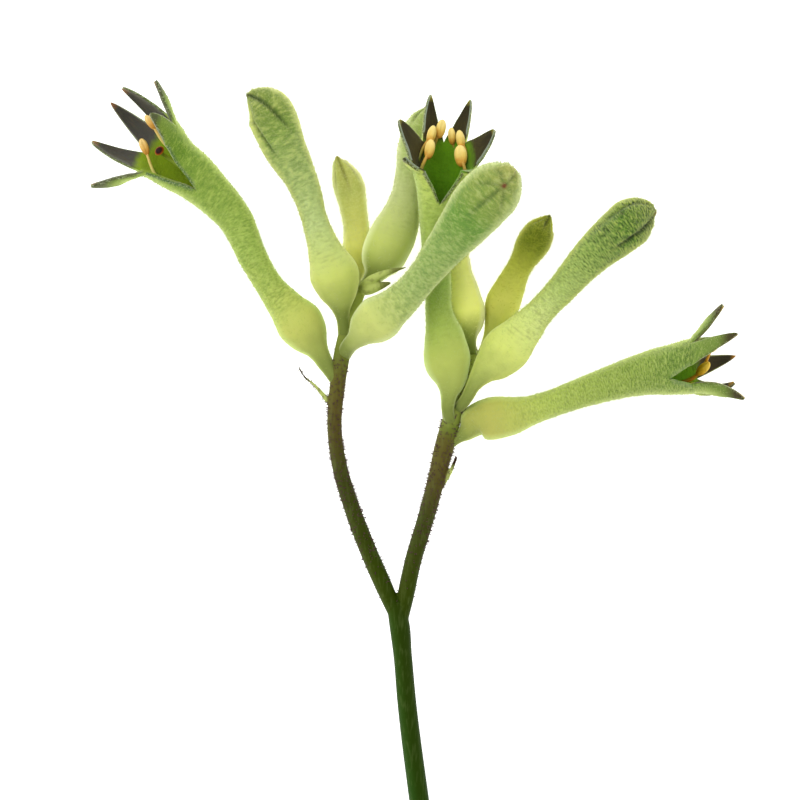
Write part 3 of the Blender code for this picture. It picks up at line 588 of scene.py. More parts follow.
def stem_skin():
    """Waxy herbaceous stem: smooth dark green with fine lengthwise fibres, flushed purple-brown where the
    branches see the sun, and pale yellow-green at their tops. Each branch is darker and more olive on its
    right side, partly its own colour and partly painted shade."""
    made, add, place = new_material("stem_cuticle")
    along, side, leafy, dry = (
        add("Attribute", attribute_name=mark, out="Fac") for mark in ("along", "side", "leafy", "dry")
    )
    drawn = add("Mapping", {"Vector": place, "Scale": (1.0, 0.12, 1.0)})
    fibre = add("TexNoise", {"Vector": drawn, "Scale": 2600.0, "Detail": 3.0})
    patch = add("TexNoise", {"Vector": place, "Scale": 260.0, "Detail": 2.0})
    height = add("Math", {0: patch, 1: 0.06, 2: along}, **SUM_OF_PRODUCT)
    heights = (0.05, 0.44, 0.56, 0.7, 0.79, 0.84, 0.87, 0.94)
    # The second ramp, mixed in by side, darkens each branch's right side: partly its more olive colour,
    # partly painted shade
    colour, shaded = (
        add("ValToRGB", {0: height}, zip(heights, colours))
        for colours in (
            ("#284C14", "#2E480C", "#404C14", "#484E24", "#5E592C", "#64602C", "#747E36", "#A0AC54"),
            ("#203800", "#243600", "#2E3C00", "#3A3E12", "#544A20", "#5A5422", "#66722A", "#98A44C"),
        )
    )
    streak = add("ValToRGB", {0: fibre}, ((0.5, 0.0), (0.8, 0.18)))
    for share, over in ((side, shaded), (streak, "#7C8C50"), (leafy, "#B0BC68"), (dry, "#2C1A06")):
        colour = add("Mix", {0: share, 6: colour, 7: over}, **COLOURS)
    bump = add("Bump", {"Height": fibre, "Strength": 0.3, "Distance": 0.00005})
    return surfaced(
        made, Base_Color=colour, Normal=bump, Roughness=0.5, IOR=1.45, Specular_IOR_Level=0.05
    )


def paper_floor():
    """White seamless paper: matt, and lit evenly enough to leave hardly any shadow."""
    made, add, place = new_material("seamless_paper")
    fibre = add("TexNoise", {"Vector": place, "Scale": 900.0, "Detail": 2.0})
    base = add("ValToRGB", {0: fibre}, ((0.3, "#F6F6F6"), (0.7, "#FCFCFC")))
    return surfaced(
        made, Base_Color=base, Roughness=0.9, Specular_IOR_Level=0.1,
        Emission_Color=WHITE, Emission_Strength=0.75,
    )


def smooth_rows(rows, steps):
    """The rows with steps - 1 more between each pair, on a smooth curve through them all, each with the
    number of the row that it is past."""
    values = [Vector((*row[:3], row[3])) for row in rows]
    ends = [values[0] * 2 - values[1], *values, values[-1] * 2 - values[-2]]
    out = []
    for number, (before, start, end, after) in enumerate(zip(ends, ends[1:], ends[2:], ends[3:])):
        last, this, following = (
            (b - a).to_3d().length for a, b in ((before, start), (start, end), (end, after))
        )
        slope = (end - start) / this
        leave = (slope * last + (start - before) / last * this) / (last + this)
        arrive = ((after - end) / following * this + slope * following) / (this + following)
        for step in range(steps):
            t = step / steps
            at = start * (2 * t**3 - 3 * t**2 + 1) + end * (3 * t**2 - 2 * t**3)
            at += leave * this * (t**3 - 2 * t**2 + t)
            at += arrive * this * (t**3 - t**2)
            out.append((at.to_3d(), max(at[3], 0.0), number + t))
    out.append((values[-1].to_3d(), values[-1][3], len(rows) - 1.0))
    return out


def even_rings(rows, spacing):
    """The smooth rows again, but the same distance apart: centre, radius, row number, distance so far."""
    dense = smooth_rows(rows, 24)
    marks = [0.0]
    for (start, _, _), (end, _, _) in zip(dense, dense[1:]):
        marks.append(marks[-1] + (end - start).length)
    count = round(marks[-1] / spacing)
    out = []
    at = 0
    for index in range(count + 1):
        wanted = marks[-1] * index / count
        while at < len(marks) - 2 and marks[at + 1] < wanted:
            at += 1
        share = (wanted - marks[at]) / (marks[at + 1] - marks[at])
        (centre, *low), (ahead, *high) = dense[at], dense[at + 1]
        radius, row = (a + (b - a) * share for a, b in zip(low, high))
        out.append((centre.lerp(ahead, share), radius, row, wanted))
    return out


def frames_along(rings):
    """For each ring, the matrix that puts it there: its X to the side, its Y upwards, its Z ahead."""
    made = []
    for index, ring in enumerate(rings):
        behind = rings[max(index - 1, 0)][0]
        ahead = (rings[min(index + 1, len(rings) - 1)][0] - behind).normalized()
        side = ahead.cross(UP).normalized()
        turn = Matrix((side, side.cross(ahead), ahead)).transposed().to_4x4()
        made.append(Matrix.Translation(ring[0]) @ turn)
    return made


def zones(rows, last_share):
    """For each row, how far up the flower it is: 0 at the foot, 0.2 at the ovary's widest, 0.4 at the neck's
    narrowest, 0.8 at the club's widest, and last_share at the end."""
    radii = [row[3] for row in rows]
    end = len(radii) - 1
    ovary = next(at for at in range(1, end) if radii[at] > 2 and radii[at + 1] < radii[at])
    neck = next(at for at in range(ovary + 1, end) if radii[at + 1] > radii[at])
    club = max(range(neck, end + 1), key=lambda at: radii[at])
    marks = [(0, 0.0), (ovary, 0.2), (neck, 0.4), (club, 0.8)]
    return marks + [(end, last_share)] if club < end else marks


def between(marks, at):
    """The value at a place, on straight lines between marks of place and value."""
    for (start, low), (end, high) in zip(marks, marks[1:]):
        if at <= end:
            return low + (high - low) * (at - start) / (end - start)
    return marks[-1][1]


def ease(value, low, high):
    """0 below low, 1 above high, and smooth between them."""
    share = min(max((value - low) / (high - low), 0.0), 1.0)
    return share * share * (3 - 2 * share)


def relief(point, distance, height, look, wave):
    """How far the skin stands out from its smooth form at a point, in millimetres, and how much painted shade
    it
    gets for lying in a crease: crosswise ripples that wander and break up, and low dents."""
    drift = noise.noise(point * 0.35) * 5 + noise.noise(point * 1.1) * 1.6
    wave_at = sin(distance / wave * tau + drift)
    broken = ease(noise.noise(point * 0.8 + Vector((9, 4, 2))), -0.2, 0.35)
    zone = ease(height, 0.2, 0.3) * (1 - 0.6 * ease(height, 0.55, 0.8)) * (1 - ease(height, 0.86, 0.95))
    dent = noise.noise(point * 0.5 + Vector((1, 7, 3))) * 0.07
    # How much painted shade a ripple's trough gets
    crease_shade = max(-wave_at, 0) ** 2 * broken * zone * look["ripple"] * 6
    return wave_at * (look["ripple"] * zone * broken) + dent, min(crease_shade, 1.0)


def rolled_sheet(columns, rings, names=("along",)):
    """A flat grid as a bmesh, its float layers and its vector layer felt, and each vertex with its column and
    ring."""
    bm = bmesh.new()
    layers = {name: bm.verts.layers.float.new(name) for name in names}
    layers["felt"] = bm.verts.layers.float_vector.new("felt")
    bmesh.ops.create_grid(bm, x_segments=columns, y_segments=rings - 1, size=0.5)
    places = []
    for vert in bm.verts:
        column, ring = round((vert.co.x + 0.5) * columns), round((vert.co.y + 0.5) * (rings - 1))
        places.append((vert, column, ring))
    return bm, layers, places


def close_up(bm):
    """Joins a rolled sheet's sides, and closes its ends."""
    bmesh.ops.remove_doubles(bm, verts=bm.verts, dist=MERGE)
    bmesh.ops.holes_fill(bm, edges=bm.edges)
    bmesh.ops.recalc_face_normals(bm, faces=bm.faces)


def wall_point(frame, radius, turn, ahead=0.0):
    """A point at a bearing in turns round an axis, moved ahead along it."""
    return frame @ Vector((sin(turn * tau) * radius, cos(turn * tau) * radius, ahead))


def mark_wall(vert, layers, turn, height, distance):
    """Marks a vertex with its height, how near it is to the sides, where a painted highlight pales it, and
    its place on the felt in millimetres, which runs on round the axis with no join."""
    vert[layers["along"]] = height
    vert[layers["felt"]] = Vector((sin(turn * tau) * 2.6, cos(turn * tau) * 2.6, distance))
    vert[layers["side_highlight"]] = 1 - abs(cos(turn * tau))


def settle(moved, layers):
    """Moves the vertices of a skin to their new spots, and marks how much painted shade each gets in its
    crease.
    """
    for vert, spot, crease_shade in moved:
        vert.co = spot
        vert[layers["crease_shade"]] = crease_shade


def dusk(past, spot):
    """How far a place of the inner side has turned from the throat's green to the lobes' dark, from its
    distance past the border in millimetres."""
    return min(max(0.5 + (past + noise.noise(spot * 1.3) * 0.4) / 1.1, 0.0), 1.0)


def furrow_at(point, pole, seams, width):
    """How deep in a seam a point of a bud lies, and how far in from a lobe's crown. The seams run down from
    the apex."""
    centre, tip = pole
    ahead = (tip - centre).normalized()
    side = ahead.cross(UP).normalized()
    out = point - centre
    out -= ahead * out.dot(ahead)
    turn = atan2(out.dot(side), out.dot(side.cross(ahead))) / tau
    deep = low = 0.0
    for bearing, strength, reach in seams:
        away = abs((turn - bearing + 0.5) % 1 - 0.5) * tau * out.length
        share = strength * (1 - ease((point - tip).length, reach * 0.5, reach))
        deep = max(deep, exp(-((away / width) ** 2)) * share)
        low = max(low, exp(-((away / width / 3) ** 2)) * share)
    return deep, low


def rooted(rows, depth):
    """The rows with the first one drawn back into the branch that the flower grows from."""
    foot, above = (Vector(row[:3]) for row in rows[:2])
    return ((*(foot + (foot - above).normalized() * depth), rows[0][3]), *rows[1:])


def bud_skin(rows, look, sizes):
    """A closed bud as one closed skin: rippled neck, and a club with furrows where its lobes meet."""
    rows = rooted(rows, sizes.foot / MM)
    rings = even_rings(rows, sizes.spacing / MM)
    frames = frames_along(rings)
    marks = zones(rows, 1.0)
    columns = sizes.columns
    club = max(rows[len(rows) // 2 :], key=lambda row: row[3])
    tip = Vector(look.get("tip", rows[-1][:3]))
    pole = (Vector(look.get("pole", club[:3])), tip)
    bm, layers, places = rolled_sheet(columns, len(rings), ("along", "crease_shade", "side_highlight", "apex"))
    for vert, column, index in places:
        _, radius, row, distance = rings[index]
        turn = column % columns / columns
        vert.co = wall_point(frames[index], radius, turn)
        mark_wall(vert, layers, turn, between(marks, row), distance)
    close_up(bm)
    bm.normal_update()
    width = sizes.seam_width / MM * look.get("seam_spread", 1.0)
    seams = look.get("seams")
    if not seams:
        seams = [(look["seam"] + part / LOBES, 1.0, look["furrows"]) for part in range(LOBES)]
    moved = []
    for vert in bm.verts:
        distance = vert[layers["felt"]].z
        out, crease_shade = relief(vert.co, distance, vert[layers["along"]], look, sizes.ripple_length / MM)
        deep, low = furrow_at(vert.co, pole, seams, width)
        away = (vert.co - tip).length
        out -= (deep * sizes.seam_depth / MM + low * 0.2) * ease(away, look.get("blunt", -0.6), 1.5)
        out *= ease(distance, 0.5, 3.0)
        vert[layers["apex"]] = min(exp(-((away / 0.4) ** 2)) * 1.5, 1.0)
        # The painted crease shade also darkens the seams' furrows
        moved.append((vert, vert.co + vert.normal * out, min(crease_shade + deep, 1.0)))
    settle(moved, layers)
    return bm


def opened(flower, share, opening=1.0):
    """The bearing of a place round an open flower's wall in turns, and how far it leans ahead in
    millimetres, where the slit has opened so far."""
    width = flower["slit_width"] * opening
    turn = flower["slit_turn"] + width / 2 + share * (1 - width)
    lean, low, high = flower["lean"]
    away = (1 - cos((turn - flower["slit_turn"]) * tau)) / 2
    return turn, lean * opening * (away if low == 0 else ease(away, low, high))


def put_in_order(bm):
    """Sorts a bmesh by place, because an extrusion adds its faces in an order that varies between runs."""
    bm.verts.sort(key=lambda vert: vert.co.dot(SORTED_ALONG))
    bm.edges.sort(key=lambda edge: (edge.verts[0].co + edge.verts[1].co).dot(SORTED_ALONG))
    bm.faces.sort(key=lambda face: face.calc_center_median().dot(SORTED_ALONG))


def open_skin(flower, look, sizes):
    """An open flower's wall as one sheet: rolled round the axis, split along the slit, cut into six lobes at
    the mouth, and given its thickness on the inner side."""
    rows = rooted(flower["axis"], sizes.foot / MM)
    rings = even_rings(rows, sizes.spacing / MM)
    frames = frames_along(rings)
    marks = zones(rows, 0.8)
    columns = sizes.columns
    last = len(rings) - 1
    slit = next(index for index, ring in enumerate(rings) if ring[2] >= flower["slit_row"])
    names = ("along", "crease_shade", "side_highlight", "reach", "brink", "inside", "dusk")
    bm, layers, places = rolled_sheet(columns, len(rings), names)
    border = {}
    closing = []
    for vert, column, index in places:
        _, radius, row, distance = rings[index]
        opening = max(index - slit, 0) / (last - slit)
        turn, lean = opened(flower, column / columns, opening)
        vert.co = wall_point(frames[index], radius, turn, lean)
        mark_wall(vert, layers, turn, between(marks, row), distance)
        edge = min(column, columns - column) / columns * tau * radius
        # Nearness to the slit's edges: painted shade on the outer side there, and a painted highlight on the
        # inner side
        vert[layers["brink"]] = exp(-((edge / look["edge_shade"][1]) ** 2)) * ease(opening, 0.0, 0.15)
        place = column / columns * LOBES + 0.5
        low, high = (flower["greens"][min(max(int(place) + at, 0), LOBES - 1)] for at in (-1, 0))
        green = low + (high - low) * ease(place % 1, 0.3, 0.7)
        vert[layers["dusk"]] = dusk(distance - rings[last][3] - green, vert.co)
        if index == last:
            border[column] = vert
        if index <= slit and column in (0, columns):
            closing.append(vert)
    bmesh.ops.remove_doubles(bm, verts=closing, dist=2 * MERGE)
    feet_each = columns // LOBES
    for lobe, (*tip, bow) in enumerate(flower["tips"]):
        feet = [border[feet_each * lobe + step] for step in range(feet_each + 1)]
        ways = (bow, flower["twists"][lobe], flower["greens"][lobe])
        grow_lobe(bm, layers, feet, rings[last][0], Vector(tip), ways)
    put_in_order(bm)
    bm = join([(bm, 0)])
    layers = {name: bm.verts.layers.float[name] for name in names}
    layers["felt"] = bm.verts.layers.float_vector["felt"]
    bmesh.ops.recalc_face_normals(bm, faces=bm.faces)
    centre = rings[slit // 2][0]
    nearest = min(bm.faces, key=lambda face: (face.calc_center_median() - centre).length)
    if nearest.normal.dot(nearest.calc_center_median() - centre) < 0:
        bmesh.ops.reverse_faces(bm, faces=bm.faces)
    bm.normal_update()
    moved = []
    for vert in bm.verts:
        distance = vert[layers["felt"]].z
        out, crease_shade = relief(vert.co, distance, vert[layers["along"]], look, sizes.ripple_length / MM)
        fade = 1 - ease(vert[layers["reach"]], 0.0, 0.3)
        moved.append((vert, vert.co + vert.normal * out * fade * ease(distance, 0.5, 3.0), crease_shade * fade))
    settle(moved, layers)
    bm.normal_update()
    outer = set(bm.verts)
    bmesh.ops.solidify(bm, geom=bm.faces[:], thickness=sizes.wall / MM)
    for vert in bm.verts:
        vert.co.z = max(vert.co.z, 0.0)
        if vert not in outer:
            vert[layers["inside"]] = 1.0
    put_in_order(bm)
    return bm


def grow_lobe(bm, layers, feet, mouth, tip, ways):
    """Draws the rim between its feet out to the tip, as a pointed lobe. Its ways are how far it bows away
    from the mouth, how far it twists about its own length in turns, and how far its inner side is green."""
    bow, twist, green = ways
    places = [foot.co.copy() for foot in feet]
    start, middle, end = places[0], places[len(feet) // 2], places[-1]
    reach = tip - middle
    outward = middle - mouth
    outward -= reach * outward.dot(reach) / reach.length_squared
    outward.normalize()
    bend = middle + reach / 2 + outward * reach.length * bow
    half = (end - start) / 2
    across = [(place - middle).dot(half) / half.length_squared for place in places]
    insets = [place - middle - half * share for place, share in zip(places, across)]
    felts = [foot[layers["felt"]].copy() for foot in feet]
    side_highlights = [foot[layers["side_highlight"]] for foot in feet]
    chosen = set(feet)
    edges = [edge for edge in bm.edges if chosen.issuperset(edge.verts)]
    steps = round(reach.length / 0.36)
    row = feet
    for step in range(1, steps + 1):
        t = step / steps
        made = bmesh.ops.extrude_edge_only(bm, edges=edges)["geom"]
        verts = {item for item in made if isinstance(item, bmesh.types.BMVert)}
        edges = [
            item for item in made if isinstance(item, bmesh.types.BMEdge) and verts.issuperset(item.verts)
        ]
        row = [min(verts, key=lambda vert: (vert.co - old.co).length) for old in row]
        heart = middle * (1 - t) ** 2 + bend * 2 * t * (1 - t) + tip * t**2
        width = (1 - t) ** 0.65
        turned = Matrix.Rotation(twist * ease(t, 0.0, 0.6) * tau, 3, reach)
        for vert, aside, inset, felt, side_highlight in zip(row, across, insets, felts, side_highlights):
            spot = heart + turned @ (half * aside * width + inset * (1 - t))
            vert.co = spot + outward * noise.noise(spot * 0.9) * 0.12 * (1 - t)
            vert[layers["along"]] = 0.8 + 0.2 * t
            vert[layers["reach"]] = t
            # Nearness to the lobe's edges: its own dark outer edges, and a painted highlight on its inner
            # edges
            vert[layers["brink"]] = abs(aside) ** 3 * ease(t, 0.0, 0.3)
            vert[layers["dusk"]] = dusk(reach.length * t - green, spot)
            vert[layers["felt"]] = felt + Vector((0, 0, reach.length * t))
            # The sides' painted highlight fades out along the lobe
            vert[layers["side_highlight"]] = side_highlight * (1 - t)
    bmesh.ops.pointmerge(bm, verts=row, merge_co=tip)


def hairs_on(skin, rows, sizes, look, chance):
    """Short hairs on a skin's outer faces, leaning towards the flower's end. The ovary's are so fine that it
    keeps only a few."""
    onwards = (Vector(rows[-1][:3]) - Vector(rows[len(rows) // 2][:3])).normalized()
    bm = skin.copy()
    inside, reach, crease_shade, along = (
        bm.verts.layers.float.get(name) for name in ("inside", "reach", "crease_shade", "along")
    )
    left = []
    for face in bm.faces:
        first = face.verts[0]
        bare = inside and any(vert[inside] > 0 for vert in face.verts)
        cover = 0.25 + 0.75 * ease(first[along], 0.22, 0.42)
        likely = sizes.share * cover * (1 - 0.95 * min(first[crease_shade], 1)) * ease(first[along], 0.02, 0.14)
        likely *= 1 - ease(first[reach], 0.4, 0.8) if reach else 1
        if bare or len(face.verts) > 4 or chance.random() > likely:
            left.append(face)
    length = sizes.length / MM * (0.8 + 0.3 * look["ridges"])
    lengths = (length * 0.5, length * 1.15)
    return sprouted(bm, left, chance, sizes.width / MM / 2, lengths, 0.5, onwards * 0.7, 0.9)


def stem_bristles(skin, sizes, chance):
    """The few short purple hairs of the branches."""
    bm = skin.copy()
    left = []
    for face in bm.faces:
        y = face.verts[0].co.y
        if chance.random() > BRISTLE_SHARE * ease(y, -20, 0) * (1 - ease(y, 14, 22)):
            left.append(face)
    length = sizes.bristle / MM
    return sprouted(bm, left, chance, BRISTLE_HALF, (length * 0.6, length * 1.3), 0.3, Vector(), 0.0)


def sprouted(bm, left, chance, half, lengths, stray, onwards, spread):
    """Makes a skin's faces hairs, but for those to be left out: they are split apart, drawn in to roots so
    wide each way and spread so far, and poked up to points."""
    bmesh.ops.delete(bm, geom=left, context="FACES")
    bmesh.ops.split_edges(bm, edges=bm.edges)
    for face in bm.faces:
        middle = face.calc_center_median()
        corners = list(face.verts)
        shift = Vector()
        for corner in corners[:2] if spread else ():
            shift += (corner.co - middle) * chance.uniform(-spread, spread)
        for vert in corners:
            vert.co = middle + shift + (vert.co - middle).normalized() * half
    for tip in bmesh.ops.poke(bm, faces=bm.faces, offset=1.0)["verts"]:
        roots = [edge.other_vert(tip).co for edge in tip.link_edges]
        root = sum(roots, Vector()) / len(roots)
        way = (tip.co - root).normalized() + onwards
        way += Vector([chance.gauss(0, stray) for _ in range(3)])
        tip.co = root + way.normalized() * chance.uniform(*lengths)
        tip.co.z = max(tip.co.z, FLOOR_CLEARANCE)
    return bm


def tube(points, sides, low=0.0, high=1.0):
    """A closed round tube through rows of x, y, z, radius, with its layer along from low to high."""
    rings = even_rings(points, 0.22)
    frames = frames_along(rings)
    bm, layers, places = rolled_sheet(sides, len(rings))
    for vert, column, index in places:
        vert.co = wall_point(frames[index], rings[index][1], column % sides / sides)
        vert[layers["along"]] = low + (high - low) * index / (len(rings) - 1)
    close_up(bm)
    return bm


def bead(segments, place, ahead, size, low, high, turn=0.0, furrow=0.0):
    """A rounded bead with its Z ahead, its layer along from low to high, and furrows along two sides."""
    bm = bmesh.new()
    along = bm.verts.layers.float.new("along")
    bmesh.ops.create_uvsphere(bm, u_segments=segments[0], v_segments=segments[1], radius=1)
    for vert in bm.verts:
        aside = vert.co.to_2d()
        if furrow:
            if aside.length > 0.01:
                pinch = 1 - furrow * exp(-((aside.normalized().x / 0.3) ** 2))
                vert.co.x *= pinch
                vert.co.y *= pinch
            vert.co.z += 0.12 * (1 - abs(vert.co.z)) * abs(vert.co.x)
        vert[along] = low + (high - low) * (vert.co.z + 1) / 2
    turned = ahead.to_track_quat("Z", "Y").to_matrix().to_4x4() @ Matrix.Rotation(turn, 4, "Z")
    matrix = Matrix.Translation(place) @ turned @ Matrix.Diagonal((*size, 1))
    bmesh.ops.transform(bm, matrix=matrix, verts=bm.verts)
    return bm


def mesh_of(name, bm, *materials):
    """A mesh from a finished bmesh, with its materials."""
    mesh = bpy.data.meshes.new(name)
    bm.to_mesh(mesh)
    bm.free()
    for material in materials:
        mesh.materials.append(material)
    return mesh


def add_object(name, data):
    """A new object in the scene."""
    made = bpy.data.objects.new(name, data)
    bpy.context.scene.collection.objects.link(made)
    return made


def add_piece(name, bm, materials, replaced=()):
    """Turns a finished bmesh into a piece that rides on the stem, in metres."""
    bmesh.ops.scale(bm, vec=(MM, MM, MM), verts=bm.verts)
    mesh = mesh_of(name, bm, *materials)
    mesh.shade_smooth()
    made = add_object(name, mesh)
    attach(made, "root")
    if replaced:
        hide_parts(*replaced)


def add_felted(name, bm, rows, sizes, seed):
    """Adds a flower's skin, and its felt as a second piece."""
    look = LOOKS[name]
    felt = hairs_on(bm, rows, sizes, look, Random(seed))
    add_piece(name + "_skin", bm, [felted_tissue(name + "_tissue", look)], (name,))
    add_piece(name + "_hairs", felt, [plant_hair(name + "_hair", look["hair"])])


def join(parts):
    """One bmesh of several, each with a material number, and their float layers kept."""
    whole = bmesh.new()
    for bm, number in parts:
        for face in bm.faces:
            face.material_index = number
        scratch = mesh_of("scratch", bm)
        whole.from_mesh(scratch)
        bpy.data.meshes.remove(scratch)
    return whole


def nearest_share(point, rings):
    """The ring nearest to a point, and how far along the rings it is."""
    index = min(range(len(rings)), key=lambda at: (rings[at][0] - point).length_squared)
    return rings[index], index / (len(rings) - 1)


def colour_stem(bm):
    """Marks each vertex of the stem with its height, its side of the branch, where painted shade darkens the
    right side, and how leafy and dry it is.
    """
    floats = bm.verts.layers.float
    along, side, leafy, dry = (
        floats.get(name) or floats.new(name) for name in ("along", "side", "leafy", "dry")
    )
    spans = ((0.0, 0.45), (0.45, 0.5), (0.45, 0.55))
    lines = [(even_rings(rows, 0.7), *span) for rows, span in zip(BRANCHES, spans)]
    bracts = [even_rings(rows, 0.5) for rows in BRACTS]
    for vert in bm.verts:
        found = [(*nearest_share(vert.co, line), start, span) for line, start, span in lines]
        near, share, start, span = min(found, key=lambda one: (one[0][0] - vert.co).length - one[0][1])
        vert[along] = start + share * span
        # Side: 0 on a branch's left, 1 on its right, where partly painted shade darkens it
        vert[side] = ease((vert.co.x - near[0].x) / near[1], -0.9, 0.2)
        out = (vert.co - near[0]).length - near[1]
        found = [(*nearest_share(vert.co, line), number) for number, line in enumerate(bracts)]
        ring, share, number = min(found, key=lambda one: (one[0][0] - vert.co).length)
        if (ring[0] - vert.co).length < ring[1] + 0.3:
            vert[leafy] = ease(out, 0.1, 0.5)
            vert[dry] = ease(share, 0.6, 0.8) * vert[leafy]
            if number > 1:
                spots = 0.5 * ease(noise.noise(vert.co * 1.4), 0.1, 0.4)
                vert[dry] = 0.6 * max(vert[dry], spots * vert[leafy])


class FLOWER_OT_stem(bpy.types.Operator):
    """Adds the forked stem as one smooth skin, with its bracts and bristles"""

    bl_idname = "flower.stem"
    bl_label = "Stem"

    def execute(self, context):
        sizes = context.scene.flower_stem
        whole = join([(tube(rows, 32), 0) for rows in BRANCHES] + [(tube(rows, 12), 0) for rows in BRACTS])
        form = add_object("stem_form", mesh_of("stem_form", whole))
        step = form.modifiers.new("one_skin", "REMESH")
        step.mode = "VOXEL"
        step.voxel_size = sizes.voxel / MM
        step.adaptivity = 0.0
        context.view_layer.update()
        graph = context.evaluated_depsgraph_get()
        bm = bmesh.new()
        bm.from_mesh(bpy.data.meshes.new_from_object(form.evaluated_get(graph)))
        bpy.data.objects.remove(form, do_unlink=True)
        ways = {"use_axis_x": True, "use_axis_y": True, "use_axis_z": True}
        for _ in range(SMOOTHINGS):
            bmesh.ops.smooth_vert(bm, verts=bm.verts, factor=0.5, **ways)
        colour_stem(bm)
        for vert in bm.verts:
            vert.co.z = max(vert.co.z, 0.0)
        bristles = stem_bristles(bm, sizes, Random(STEM_SEED))
        add_piece("stem_skin", bm, [stem_skin()], ("stem",))
        add_piece("stem_bristles", bristles, [plant_hair("stem_bristle", "#5E4442")])
        return {"FINISHED"}


class FLOWER_OT_buds(bpy.types.Operator):
    """Adds the seven closed buds and their felt"""

    bl_idname = "flower.buds"
    bl_label = "Closed buds"

    def execute(self, context):
        skin, hair = context.scene.flower_skin, context.scene.flower_hairs
        for seed, (name, rows) in enumerate(BUDS.items(), BUD_SEED):
            add_felted(name, bud_skin(rows, LOOKS[name], skin), rows, hair, seed)
        return {"FINISHED"}


class FLOWER_OT_open_flowers(bpy.types.Operator):
    """Adds the three open flowers: wall, lobes and felt"""

    bl_idname = "flower.open_flowers"
    bl_label = "Open flowers"

    def execute(self, context):
        skin, hair = context.scene.flower_skin, context.scene.flower_hairs
        for seed, (name, flower) in enumerate(OPEN_FLOWERS.items(), OPEN_SEED):
            bm = open_skin(flower, LOOKS[name], skin)
            add_felted(name, bm, flower["axis"], hair, seed)
        return {"FINISHED"}


class FLOWER_OT_stamens(bpy.types.Operator):
    """Adds the pollen sacs, their filaments, and the style with its stigma"""

    bl_idname = "flower.stamens"
    bl_label = "Stamens and styles"

    def execute(self, context):
        sizes = context.scene.flower_stamens
        half = sizes.filament / MM / 2
        stigma = stigma_tissue()
        for name, flower in OPEN_FLOWERS.items():
            rings = even_rings(flower["axis"], 0.4)
            frames = frames_along(rings)
            mouth = rings[-1][0]
            parts = []
            for index, row in enumerate(flower["anthers"]):
                centre = Vector(row[:3])
                if row[3:]:
                    bend = Vector(row[3:])
                    local = frames[-6].inverted() @ bend
                    root = wall_point(frames[-6], rings[-6][1] - 0.4, atan2(local.x, local.y) / tau)
                    ahead = (centre - bend).normalized()
                else:
                    turn, lean = opened(flower, (index + 0.5) / LOBES)
                    root = wall_point(frames[-1], rings[-1][1] - 0.5, turn, lean - 1.2)
                    bend = root.lerp(centre, 0.5).lerp(mouth.lerp(centre, 0.5), -0.1)
                    onwards = (mouth - rings[-4][0]).normalized()
                    ahead = ((centre - bend).normalized() + onwards * 1.5).normalized()
                thread = ((*root, half * 1.1), (*bend, half), (*centre, half * 0.7))
                bulk = flower.get("bulks", (1.0,) * LOBES)[index]
                wide, high = sizes.anther_width / MM / 2 * bulk, sizes.anther_length / MM / 2 * bulk**0.5
                size = (wide, wide * 0.9, high)
                sac = bead((24, 14), centre + ahead * 0.2, ahead, size, 0.0, 1.0, index * 1.1, 0.34)
                parts += [(tube(thread, 10), 1), (sac, 0)]
            start, bend, end = (Vector(point) for point in flower["style"])
            style = ((*(start * 2 - bend), 0.3), (*start, 0.31), (*bend, 0.28), (*end, 0.34))
            tip = bead((20, 12), end, (end - bend).normalized(), (0.8, 0.62, 0.4), 0.8, 0.98)
            parts += [(tube(style, 12, 0.0, 0.84), 2), (tip, 2)]
            sac = pollen_sac(name + "_pollen_sac", LOOKS[name]["sac"])
            thread = filament_tissue(name + "_filament", LOOKS[name]["thread"])
            add_piece(name + "_stamens", join(parts), [sac, thread, stigma])
        return {"FINISHED"}


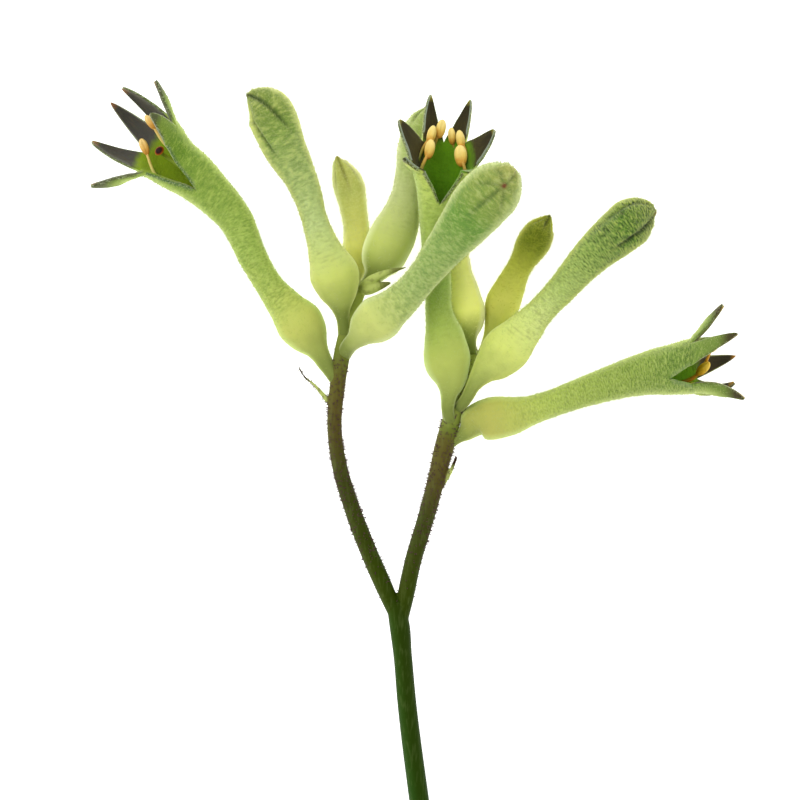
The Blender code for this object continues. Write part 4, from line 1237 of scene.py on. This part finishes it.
class FLOWER_OT_stage(bpy.types.Operator):
    """Adds the floor, the soft light and the camera"""

    bl_idname = "flower.stage"
    bl_label = "Floor, light and camera"

    def execute(self, context):
        scene = context.scene
        settings = scene.flower_stage
        bm = bmesh.new()
        bmesh.ops.create_grid(bm, x_segments=1, y_segments=1, size=settings.floor_size / 2)
        floor = add_object("floor", mesh_of("floor", bm, paper_floor()))
        for name, place, size, power in (
            ("key", (-0.45, 0.4, 0.75), 0.6, settings.key),
            ("fill", (0.55, -0.3, 0.7), 0.8, settings.key * 0.35),
        ):
            data = bpy.data.lights.new(name, "AREA")
            data.size = size
            data.energy = power
            lamp = add_object(name, data)
            lamp.location = place
            lamp.rotation_euler = (-Vector(place)).to_track_quat("-Z", "Y").to_euler()
        scene.world = bpy.data.worlds.new("studio")
        scene.world.use_nodes = True
        tree = scene.world.node_tree
        fill(tree, tree.nodes["Background"], {"Color": WHITE, "Strength": settings.sky})
        data = bpy.data.cameras.new("camera")
        data.lens = CAMERA_LENS
        data.sensor_width = CAMERA_SENSOR
        scene.camera = add_object("camera", data)
        scene.camera.location = CAMERA_PLACE
        scene.view_settings.view_transform = "Standard"
        return {"FINISHED"}


class FLOWER_PT_pieces(bpy.types.Panel):
    """Lists the pieces and their sizes"""

    bl_idname = "FLOWER_PT_pieces"
    bl_label = "Kangaroo paw flower"
    bl_space_type = "VIEW_3D"
    bl_region_type = "UI"
    bl_category = "Flower"

    def draw(self, context):
        for name, (group, *operators) in GROUPS.items():
            box = self.layout.box()
            for key in group.__annotations__:
                box.prop(getattr(context.scene, name), key)
            for operator in operators:
                box.operator(operator.bl_idname)


GROUPS = {
    "flower_stem": (FlowerStem, FLOWER_OT_stem),
    "flower_skin": (FlowerSkin, FLOWER_OT_buds, FLOWER_OT_open_flowers),
    "flower_hairs": (FlowerHairs,),
    "flower_stamens": (FlowerStamens, FLOWER_OT_stamens),
    "flower_stage": (FlowerStage, FLOWER_OT_stage),
}
CLASSES = (*(made for group in GROUPS.values() for made in group), FLOWER_PT_pieces)


def register():
    for made in CLASSES:
        bpy.utils.register_class(made)
    for name, (group, *_) in GROUPS.items():
        setattr(bpy.types.Scene, name, PointerProperty(type=group))


def unregister():
    for name in GROUPS:
        delattr(bpy.types.Scene, name)
    for made in reversed(CLASSES):
        bpy.utils.unregister_class(made)


def main():
    register()
    bpy.ops.flower.stem()
    bpy.ops.flower.buds()
    bpy.ops.flower.open_flowers()
    bpy.ops.flower.stamens()
    bpy.ops.flower.stage()


if __name__ == "__main__":
    main()
